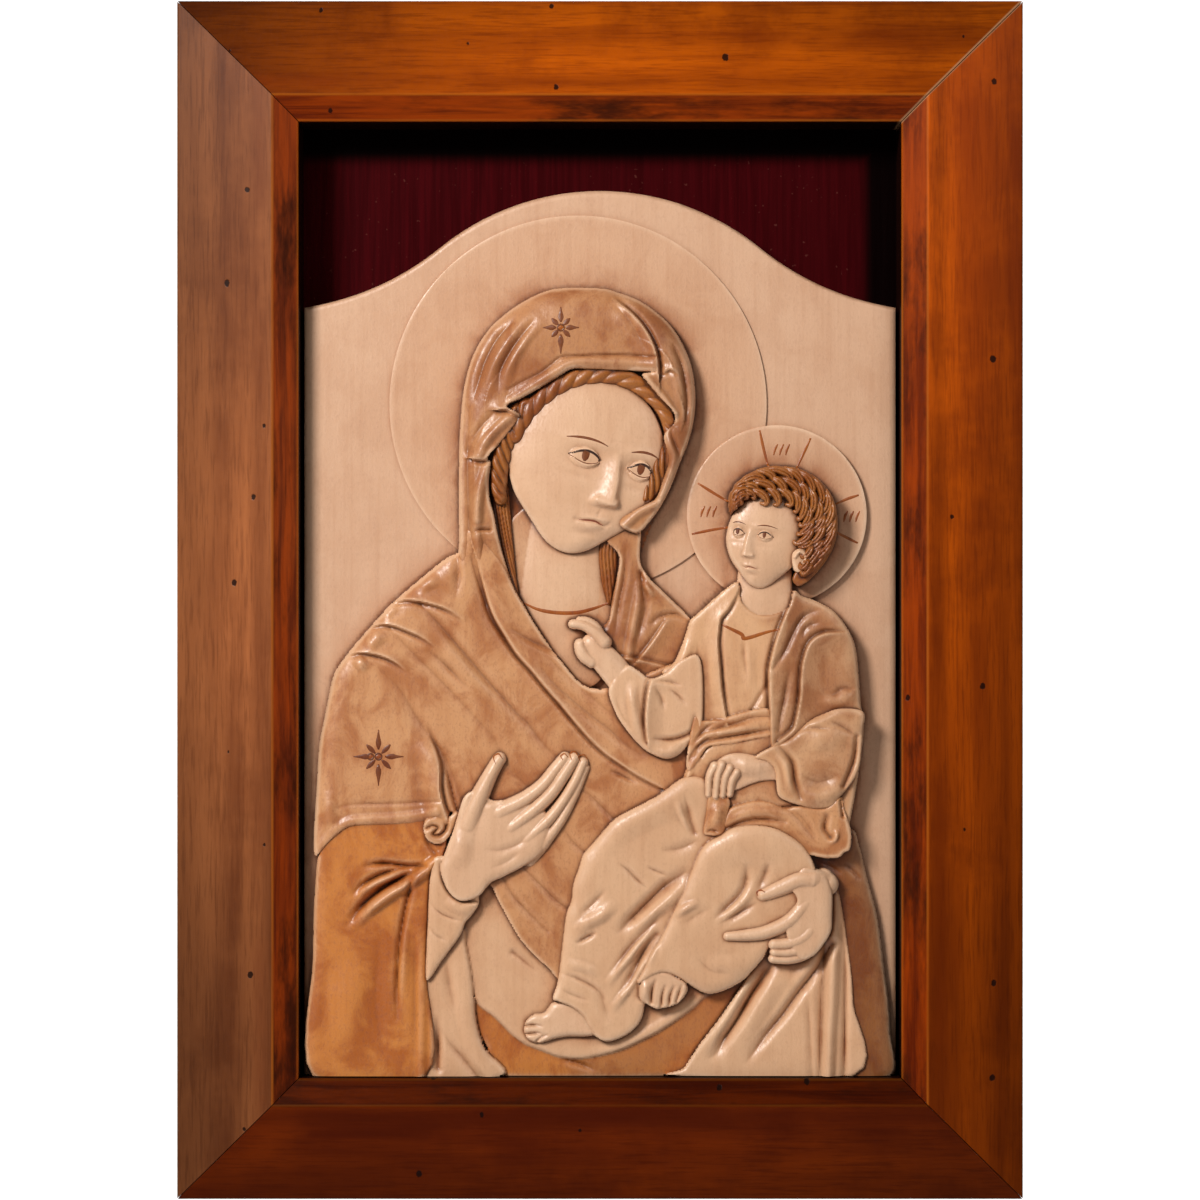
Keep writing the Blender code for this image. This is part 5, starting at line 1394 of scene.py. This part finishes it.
def face_strokes(head, brow, lip):
    """Brows, lid lines, irises and the line of the mouth, at the same even places as the carved features."""
    strokes = []
    size = head.half[0] / STROKES_HALF_WIDTH

    def stroke(across, v, widths, colour):
        strokes.append((*head.spot(across, v), np.array(widths) * size, colour))

    t = np.linspace(-1, 1, 15)
    arch = 1 - t * t
    for side in (-1, 1):
        iris = side * EYE_APART - 0.015
        stroke(
            side * (EYE_APART + 0.02 + 0.24 * t * side), 0.25 + 0.035 * arch, (0.5, 1.4, 1.5, 1.1, 0.4), brow
        )
        stroke(
            side * (EYE_APART + EYE_HALF * t), EYE_LINE + 0.080 * arch, (0.7, 1.3, 1.4, 1.3, 0.7), DARK_PAINT
        )
        stroke(side * (EYE_APART + EYE_HALF * t), EYE_LINE - 0.058 * arch, (0.3, 0.5, 0.6, 0.5, 0.3), brow)
        stroke(np.full(9, iris), EYE_LINE + np.linspace(-0.038, 0.074, 9), (1.2, 3.4, 4.1, 4.2, 3.6), brow)
        stroke(np.full(7, iris), EYE_LINE + np.linspace(0.0, 0.066, 7), (0.6, 1.9, 2.2, 1.8), DARK_PAINT)
    s = 0.2 * t
    stroke(s, MOUTH_LINE + lip_wave(s), (0.3, 0.9, 1.0, 0.9, 0.3), lip)
    return strokes


def painted_marks(surface):
    """Faces, stars, rays and strokes on the child's halo, trims at the necks, and nails: four pieces."""
    brow = np.array((0.20, 0.055, 0.012))
    lip = np.array((0.30, 0.075, 0.035))
    marks = {}
    for name in ("mother_face", "child_face"):
        (head,), _ = CARVING[name]
        marks[name + "_paint"] = face_strokes(head, brow, lip)
    marks["stars"] = star(561, 330, 18, 21, 26, 13) + star(379, 757, 25, 27, 29, 17) + berry(371, 757, 3.0)
    rays = (
        "698,484 714,494 729,503", "692,535 711,531 730,528", "760,431 764,450 769,469",
        "811,439 804,454 797,469", "859,496 847,500 836,505", "858,544 846,538 835,532",
    )
    lines = [(*along(path), (1.0, 1.7, 1.5, 0.9), PAINT) for path in rays]
    for x, y in ((709, 513), (782, 451), (852, 518)):
        for shift in (-6, 0, 6):
            path = f"{x + shift + 2},{y - 6} {x + shift - 0.6},{y - 1} {x + shift - 2},{y + 5}"
            lines.append((*along(path), (0.6, 1.5, 1.3, 0.5), PAINT))
    neck_trims = (
        "524,604 537,610 551,613 566,614 580,613 595,609 608,604",
        "721,625 729,629 741,635 743,639 750,638 766,633 779,630",
    )
    lines += [(*along(path), (0.9, 2.0, 2.2, 2.0, 0.9), PAINT) for path in neck_trims]
    marks["painted_lines"] = lines + nails()
    for name, strokes in marks.items():
        join_strips(name, [strip(x, y, w, surface, colour) for x, y, w, colour in strokes])


# Surfaces


class Nodes:
    """Short hand for a material's node tree."""

    def __init__(self, name):
        self.material = bpy.data.materials.new(name)
        self.material.use_nodes = True
        self.tree = self.material.node_tree
        self.shader = self.tree.nodes["Principled BSDF"]

    def link(self, value, socket):
        if isinstance(value, bpy.types.NodeSocket):
            self.tree.links.new(value, socket)
        else:
            socket.default_value = value

    def node(self, kind, inputs=(), **settings):
        made = self.tree.nodes.new(kind)
        for key, value in settings.items():
            setattr(made, key, value)
        for key, value in dict(inputs).items():
            self.link(value, made.inputs[key])
        return made

    def math(self, operation, a, b=0.0):
        return self.node("ShaderNodeMath", {0: a, 1: b}, operation=operation).outputs[0]

    def position(self, scale=(1, 1, 1)):
        here = self.node("ShaderNodeTexCoord").outputs["Object"]
        mapping = self.node("ShaderNodeMapping", {"Vector": here, "Scale": scale})
        return mapping.outputs["Vector"]

    def noise(self, place_at, scale, detail, roughness, distortion=0.0):
        inputs = {
            "Vector": place_at, "Scale": scale, "Detail": detail, "Roughness": roughness,
            "Distortion": distortion,
        }
        return self.node("ShaderNodeTexNoise", inputs).outputs["Fac"]

    def ramp(self, value, low, high, out_low=0.0, out_high=1.0):
        inputs = {0: value, 1: low, 2: high, 3: out_low, 4: out_high}
        return self.node("ShaderNodeMapRange", inputs, interpolation_type="SMOOTHSTEP").outputs[0]

    def mix(self, share, a, b, blend="MIX"):
        made = self.node("ShaderNodeMix", data_type="RGBA", blend_type=blend)
        self.link(share, made.inputs[0])
        self.link(a if isinstance(a, bpy.types.NodeSocket) else (*a, 1), made.inputs[6])
        self.link(b if isinstance(b, bpy.types.NodeSocket) else (*b, 1), made.inputs[7])
        return made.outputs[2]

    def bump(self, height, strength, distance):
        made = self.node("ShaderNodeBump", {"Height": height, "Strength": strength, "Distance": distance})
        self.link(made.outputs[0], self.shader.inputs["Normal"])

    def finish(self, colour, roughness, coat=0.0):
        self.link(colour, self.shader.inputs["Base Color"])
        self.link(roughness, self.shader.inputs["Roughness"])
        self.shader.inputs["Coat Weight"].default_value = coat
        self.shader.inputs["Coat Roughness"].default_value = 0.25
        return self.material


def carved_wood_material():
    """Waxed pale wood: the carved stain with its painted shade and highlights, in clouds where it is dark,
    with fine upright grain and pores.
    """
    wood = Nodes("carved_wood")
    stain = wood.node("ShaderNodeAttribute", attribute_name="stain").outputs["Color"]
    parts = wood.node("ShaderNodeSeparateColor", {0: stain})
    soaked = wood.ramp(parts.outputs[2], 0.26, 0.10)
    grain = wood.noise(wood.position((1, 1, 0.05)), 420, 5, 0.6)
    broad = wood.noise(wood.position((1, 1, 0.35)), 28, 3, 0.5)
    clouds = wood.noise(wood.position((1, 1, 0.8)), 62, 5, 0.62, 0.6)
    pores = wood.noise(wood.position((1, 1, 0.6)), 1100, 2, 0.6)
    colour = wood.mix(wood.ramp(grain, 0.42, 0.75, 0, 0.16), stain, (0.62, 0.44, 0.32), "MULTIPLY")
    colour = wood.mix(wood.ramp(broad, 0.35, 0.75, 0, 0.26), colour, (0.80, 0.66, 0.56), "MULTIPLY")
    cloudy = wood.math("MULTIPLY", wood.ramp(clouds, 0.40, 0.64), wood.ramp(soaked, 0, 1, 0.16, 0.85))
    colour = wood.mix(cloudy, colour, (0.66, 0.46, 0.32), "MULTIPLY")
    speck = wood.math("MULTIPLY", wood.ramp(pores, 0.50, 0.70), wood.ramp(soaked, 0, 1, 0.12, 0.28))
    colour = wood.mix(speck, colour, (0.50, 0.34, 0.24), "MULTIPLY")
    roughness = wood.ramp(pores, 0.35, 0.70, 0.34, 0.58)
    wood.bump(wood.math("ADD", grain, pores), 0.42, 0.2 * MM)
    wood.shader.inputs["Specular IOR Level"].default_value = 0.45
    return wood.finish(colour, roughness, 0.14)


# Places in from a rail's outer edge: full painted light, painted shade at the ridge, bevel, worn edges
# with a painted highlight, and the opening's wall in painted shade
BRIGHT_FROM = 30 * MM
RIDGE_SHADE = 34.5 * MM
BEVEL = (38.5 * MM, 40 * MM)
WEAR_AND_HIGHLIGHT_EDGES = (39.2 * MM, 49 * MM)
WEAR_AND_HIGHLIGHT_HALF = 0.8 * MM
SIGHT_WALL_SHADE = (46 * MM, 48 * MM)

# How far from a rail's middle its painted light changes, the painted highlight at one mitre, and the board's
# painted shadows of the rails
PAINTED_LIGHT_REACH = 190 * MM
MITRE_HIGHLIGHT = (0.6 * MM, 1.3 * MM)
RAIL_SHADOW_TOP = (176.5 * MM, 183 * MM)
RAIL_SHADOW_RIGHT = (104.5 * MM, 111.5 * MM)


def frame_stain_and_painted_light_material(name, along, seed, tones_with_painted_light, inner, painted_light_ends, gloss):
    """Stained moulding: grain, red-brown to orange, dark smears on the bevel, worn edges and flecks, with
    painted light and shade: each rail's own tones and bevel brightness, a painted highlight on worn edges and
    one mitre, and painted shade on the opening's wall.

    Grain runs along the rail, and what changes across it goes by the distance in from the outer edge. The
    three ends are the painted light's brightness at the rail's lower or left end, its middle and its other
    end.
    """
    rail = Nodes(name)
    split = rail.node("ShaderNodeSeparateXYZ", {0: rail.node("ShaderNodeTexCoord").outputs["Object"]})
    if along == "X":
        outward = rail.math("ABSOLUTE", rail.math("SUBTRACT", split.outputs["Z"], FRAME_MIDDLE))
        inward = rail.math("SUBTRACT", rail_high[2] - FRAME_MIDDLE, outward)
        stretch = (0.06, 1, 1)
    else:
        inward = rail.math("SUBTRACT", rail_high[0], rail.math("ABSOLUTE", split.outputs["X"]))
        stretch = (1, 1, 0.06)
    drift = rail.node(
        "ShaderNodeVectorMath", {0: rail.position(stretch), 1: (seed, seed * 0.7, seed * 1.3)},
        operation="ADD",
    )
    place_at = drift.outputs[0]
    grain = rail.noise(place_at, 260, 6, 0.62, 0.4)
    broad = rail.noise(place_at, 26, 4, 0.55, 1.2)
    figure = rail.noise(place_at, 60, 3, 0.5, 2.5)
    mottle = rail.noise(rail.position(), 14 + seed, 4, 0.6)
    dust = rail.noise(rail.position(), 700, 2, 0.7)
    deep, bright = tones_with_painted_light
    middle = tuple(math.sqrt(a * b) for a, b in zip(deep, bright))
    fine = rail.noise(place_at, 950, 3, 0.6, 0.3)
    from_middle = rail.math("SUBTRACT", split.outputs["Z"], FRAME_MIDDLE)
    run = split.outputs["X"] if along == "X" else from_middle
    colour = rail.mix(rail.ramp(broad, 0.30, 0.70), deep, bright)
    colour = rail.mix(rail.ramp(mottle, 0.42, 0.75, 0, 0.6), colour, bright)
    colour = rail.mix(rail.ramp(figure, 0.48, 0.60, 0, 0.25), colour, middle)
    clouds = rail.noise(rail.position(), 24 - seed, 5, 0.66)
    colour = rail.mix(rail.ramp(clouds, 0.46, 0.72, 0, 0.62), colour, deep)
    colour = rail.mix(rail.ramp(grain, 0.48, 0.74, 0, 0.42), colour, deep)
    colour = rail.mix(rail.ramp(fine, 0.46, 0.68, 0, 0.42), colour, tuple(0.8 * v for v in deep))
    # Painted light and shade: brightness along the rail by its three ends, and darker towards the outer edge
    low, central, high = painted_light_ends
    colour = rail.mix(1.0, colour, rail.ramp(run, -PAINTED_LIGHT_REACH, 0, low, central), "MULTIPLY")
    colour = rail.mix(1.0, colour, rail.ramp(run, 0, PAINTED_LIGHT_REACH, 1, high / central), "MULTIPLY")
    colour = rail.mix(1.0, colour, rail.ramp(inward, 0, BRIGHT_FROM, 0.74, 1.12), "MULTIPLY")
    # The bevel's tone is scaled by inner, each rail's painted light on its bevel
    bevel = rail.ramp(inward, *BEVEL)
    bevel_tone = rail.mix(
        rail.ramp(grain, 0.35, 0.65), tuple(v * inner for v in (0.33, 0.041, 0.001)),
        tuple(v * inner for v in (0.11, 0.010, 0.001)),
    )
    colour = rail.mix(rail.math("MULTIPLY", bevel, 0.85), colour, bevel_tone)
    drawn_out = (0.3, 1, 1) if along == "X" else (1, 1, 0.3)
    smear = rail.ramp(rail.noise(rail.position(drawn_out), 46, 5, 0.7), 0.44, 0.66, 0, 0.88)
    colour = rail.mix(rail.math("MULTIPLY", bevel, smear), colour, (0.022, 0.004, 0.001))
    # Painted shade: the opening's wall goes near black
    wall = rail.math(
        "MULTIPLY", rail.ramp(split.outputs["Y"], SIGHT_EDGE, SIGHT_EDGE + 1.2 * MM),
        rail.ramp(inward, *SIGHT_WALL_SHADE),
    )
    near_ridge = rail.ramp(
        rail.math("ABSOLUTE", rail.math("SUBTRACT", inward, RIDGE_SHADE)), 0, 6 * MM, 0.6, 0
    )
    colour = rail.mix(rail.math("MULTIPLY", near_ridge, rail.ramp(mottle, 0.3, 0.6)), colour, deep)
    # Worn edges, lighter: wear together with a painted highlight, scaled by each rail's painted light
    for line_at in WEAR_AND_HIGHLIGHT_EDGES:
        away = rail.math("ABSOLUTE", rail.math("SUBTRACT", inward, line_at))
        wear_and_highlight = rail.math(
            "MULTIPLY", rail.ramp(away, 0, WEAR_AND_HIGHLIGHT_HALF, 0.62, 0), rail.ramp(grain, 0.35, 0.6, 0.5, 1)
        )
        colour = rail.mix(wear_and_highlight, colour, tuple(v * inner for v in (0.50, 0.13, 0.010)))
    colour = rail.mix(wall, colour, (0.010, 0.002, 0.001))
    # Painted highlight along the upper right mitre
    side_in = rail.math("SUBTRACT", rail_high[0], rail.math("ABSOLUTE", split.outputs["X"]))
    end_in = rail.math("SUBTRACT", rail_high[2] - FRAME_MIDDLE, rail.math("ABSOLUTE", from_middle))
    off_mitre = rail.math("ABSOLUTE", rail.math("SUBTRACT", side_in, end_in))
    upper_right = rail.math(
        "MULTIPLY", rail.ramp(split.outputs["X"], 0, 0.01), rail.ramp(from_middle, 0, 0.01)
    )
    mitre_painted_highlight = rail.math("MULTIPLY", upper_right, rail.ramp(off_mitre, *MITRE_HIGHLIGHT, 0.55, 0))
    colour = rail.mix(mitre_painted_highlight, colour, (0.42, 0.24, 0.12))
    flat = rail.node(
        "ShaderNodeCombineXYZ", {0: split.outputs["X"], 1: rail.math("MULTIPLY", split.outputs["Z"], 0.8)}
    )
    inputs = {"Vector": flat.outputs[0], "Scale": 31.0, "Randomness": 0.95}
    cells = rail.node("ShaderNodeTexVoronoi", inputs, voronoi_dimensions="2D")
    pick = rail.node("ShaderNodeSeparateColor", {0: cells.outputs["Color"]})
    spot = rail.math("ADD", cells.outputs["Distance"], rail.math("MULTIPLY", dust, 0.034))
    spot = rail.math("SUBTRACT", spot, rail.math("MULTIPLY", pick.outputs[1], 0.026))
    fleck = rail.math("MULTIPLY", rail.ramp(spot, 0.024, 0.036, 1, 0), rail.ramp(pick.outputs[0], 0.34, 0.36))
    colour = rail.mix(rail.math("MULTIPLY", fleck, 0.92), colour, (0.008, 0.003, 0.002))
    height = rail.math("SUBTRACT", rail.math("MULTIPLY", grain, 0.25), fleck)
    rail.bump(height, 0.25, 0.6 * MM)
    rail.shader.inputs["Specular IOR Level"].default_value = gloss
    return rail.finish(colour, rail.ramp(dust, 0.4, 0.75, 0.34, 0.50), 0.5 * gloss)


def backboard_material():
    """Dark maroon stain over an upright grain, with a little lint, and painted shadows of the rails along its
    top and right.
    """
    board = Nodes("maroon_board")
    grain = board.noise(board.position((1, 1, 0.04)), 520, 5, 0.6)
    broad = board.noise(board.position((1, 1, 0.1)), 40, 3, 0.5)
    lint = board.noise(board.position(), 600, 1, 0.4)
    colour = board.mix(board.ramp(grain, 0.35, 0.7), (0.028, 0.0004, 0.0012), (0.050, 0.0009, 0.0022))
    colour = board.mix(board.ramp(broad, 0.3, 0.7, 0, 0.5), colour, (0.036, 0.0010, 0.0018))
    colour = board.mix(board.ramp(lint, 0.74, 0.80, 0, 0.35), colour, (0.14, 0.04, 0.03))
    here = board.node("ShaderNodeSeparateXYZ", {0: board.node("ShaderNodeTexCoord").outputs["Object"]})
    front = board.ramp(here.outputs["Y"], board_low[1] + 0.2 * MM, board_low[1] + 1.0 * MM, 0.97, 0)
    # Painted shadows of the top and right rails, near black on the board's front
    under_rail = board.ramp(here.outputs["Z"], *(FRAME_MIDDLE + v for v in RAIL_SHADOW_TOP))
    edge = board.math("MAXIMUM", board.ramp(here.outputs["X"], *RAIL_SHADOW_RIGHT), under_rail)
    painted_rail_shadow = board.math("MULTIPLY", front, edge)
    colour = board.mix(painted_rail_shadow, colour, (0.001, 0, 0))
    board.bump(grain, 0.25, 0.3 * MM)
    board.shader.inputs["Specular IOR Level"].default_value = 0.02
    return board.finish(colour, board.ramp(grain, 0.3, 0.7, 0.42, 0.55))


carved_wood = carved_wood_material()


def dress_frame():
    # Each rail's tones, bevel brightness and ends are painted light and shade: the top rail brightest, the
    # bottom darkest, the left greyer for a painted sheen
    rails = (
        ("top", "X", ((0.16, 0.021, 0.0008), (0.45, 0.082, 0.001)), 0.84, (0.18, 1.06, 0.70), 0.04),
        ("right", "Z", ((0.14, 0.018, 0.0008), (0.41, 0.068, 0.001)), 0.80, (0.66, 1.14, 1.75), 0.05),
        ("bottom", "X", ((0.070, 0.007, 0.0006), (0.20, 0.027, 0.0008)), 0.22, (0.82, 0.92, 0.60), 0.03),
        ("left", "Z", ((0.15, 0.038, 0.011), (0.37, 0.118, 0.037)), 0.92, (0.50, 0.93, 0.62), 0.08),
    )
    for k, (name, along, tones_with_painted_light, inner, painted_light_ends, gloss) in enumerate(rails):
        made = frame_stain_and_painted_light_material(
            "frame_stain_and_painted_light_" + name, along, 1.7 + 3.1 * k, tones_with_painted_light, inner, painted_light_ends, gloss
        )
        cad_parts["frame_rail_" + name].material_slots[0].material = made
    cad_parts["backboard"].material_slots[0].material = backboard_material()


# Stage


def plain(name, colour, glow=0.0):
    surface = bpy.data.materials.new(name)
    surface.use_nodes = True
    shader = surface.node_tree.nodes["Principled BSDF"]
    shader.inputs["Base Color"].default_value = (*colour, 1)
    shader.inputs["Roughness"].default_value = 0.9
    shader.inputs["Emission Color"].default_value = (1, 1, 1, 1)
    shader.inputs["Emission Strength"].default_value = glow
    return surface


def stage_plane(name, size, location, turn, surface):
    bpy.ops.mesh.primitive_plane_add(size=size, location=location, rotation=turn)
    made = bpy.context.object
    made.name = name
    made.data.materials.append(surface)


def lamp(name, place_at, target, size, power, colour=(1, 1, 1)):
    data = bpy.data.lights.new(name, "AREA")
    data.shape = "SQUARE"
    data.size = size
    data.energy = power
    data.color = colour
    made = bpy.data.objects.new(name, data)
    made.location = place_at
    bpy.context.collection.objects.link(made)
    made.rotation_euler = (Vector(target) - Vector(place_at)).to_track_quat("-Z", "Y").to_euler()


def light_and_camera():
    middle = (0, 0, FRAME_MIDDLE)
    stage_plane("backdrop", 8, (0, 2.5, FRAME_MIDDLE), (math.pi / 2, 0, 0), plain("backdrop", (1, 1, 1), 1.0))
    stage_plane("floor", 8, (0, 0, FRAME_MIDDLE - 1.2), (0, 0, 0), plain("floor", (0.9, 0.9, 0.9)))
    lamp("key", (-0.84, -1.25, FRAME_MIDDLE + 0.74), middle, 0.42, 29, (1, 0.975, 0.95))
    lamp("fill", (1.15, -1.7, FRAME_MIDDLE + 0.8), middle, 0.9, 6.5, (1, 0.98, 0.95))
    world = bpy.data.worlds.new("studio")
    bpy.context.scene.world = world
    world.use_nodes = True
    world.node_tree.nodes["Background"].inputs[0].default_value = (1, 1, 1, 1)
    world.node_tree.nodes["Background"].inputs[1].default_value = 0.10
    bpy.context.scene.view_settings.view_transform = "Standard"

    distance = 1.6
    picture_side = 480 * MM
    ridge = rail_low[1]
    data = bpy.data.cameras.new("camera")
    data.sensor_width = 36
    data.lens = data.sensor_width * distance / picture_side
    camera = bpy.data.objects.new("camera", data)
    camera.location = (0, ridge - distance, FRAME_MIDDLE)
    camera.rotation_euler = (math.pi / 2, 0, 0)
    bpy.context.collection.objects.link(camera)
    bpy.context.scene.camera = camera


def main():
    light_and_camera()
    dress_frame()
    everything = [MOTHERS_HALO, CHILDS_HALO] + [layer for layers, _ in CARVING.values() for layer in layers]
    hollows = Hollows(everything)
    panel_ground(hollows)
    halo("mother_halo", MOTHERS_HALO, 150, 0.9, hollows)
    halo("child_halo", CHILDS_HALO, 90, 0.8, hollows)
    for name, (layers, step) in CARVING.items():
        carve(name, layers, step, hollows)
    painted_marks(lambda x, y: np.maximum(top_of(everything, x, y)[0], 0))


main()
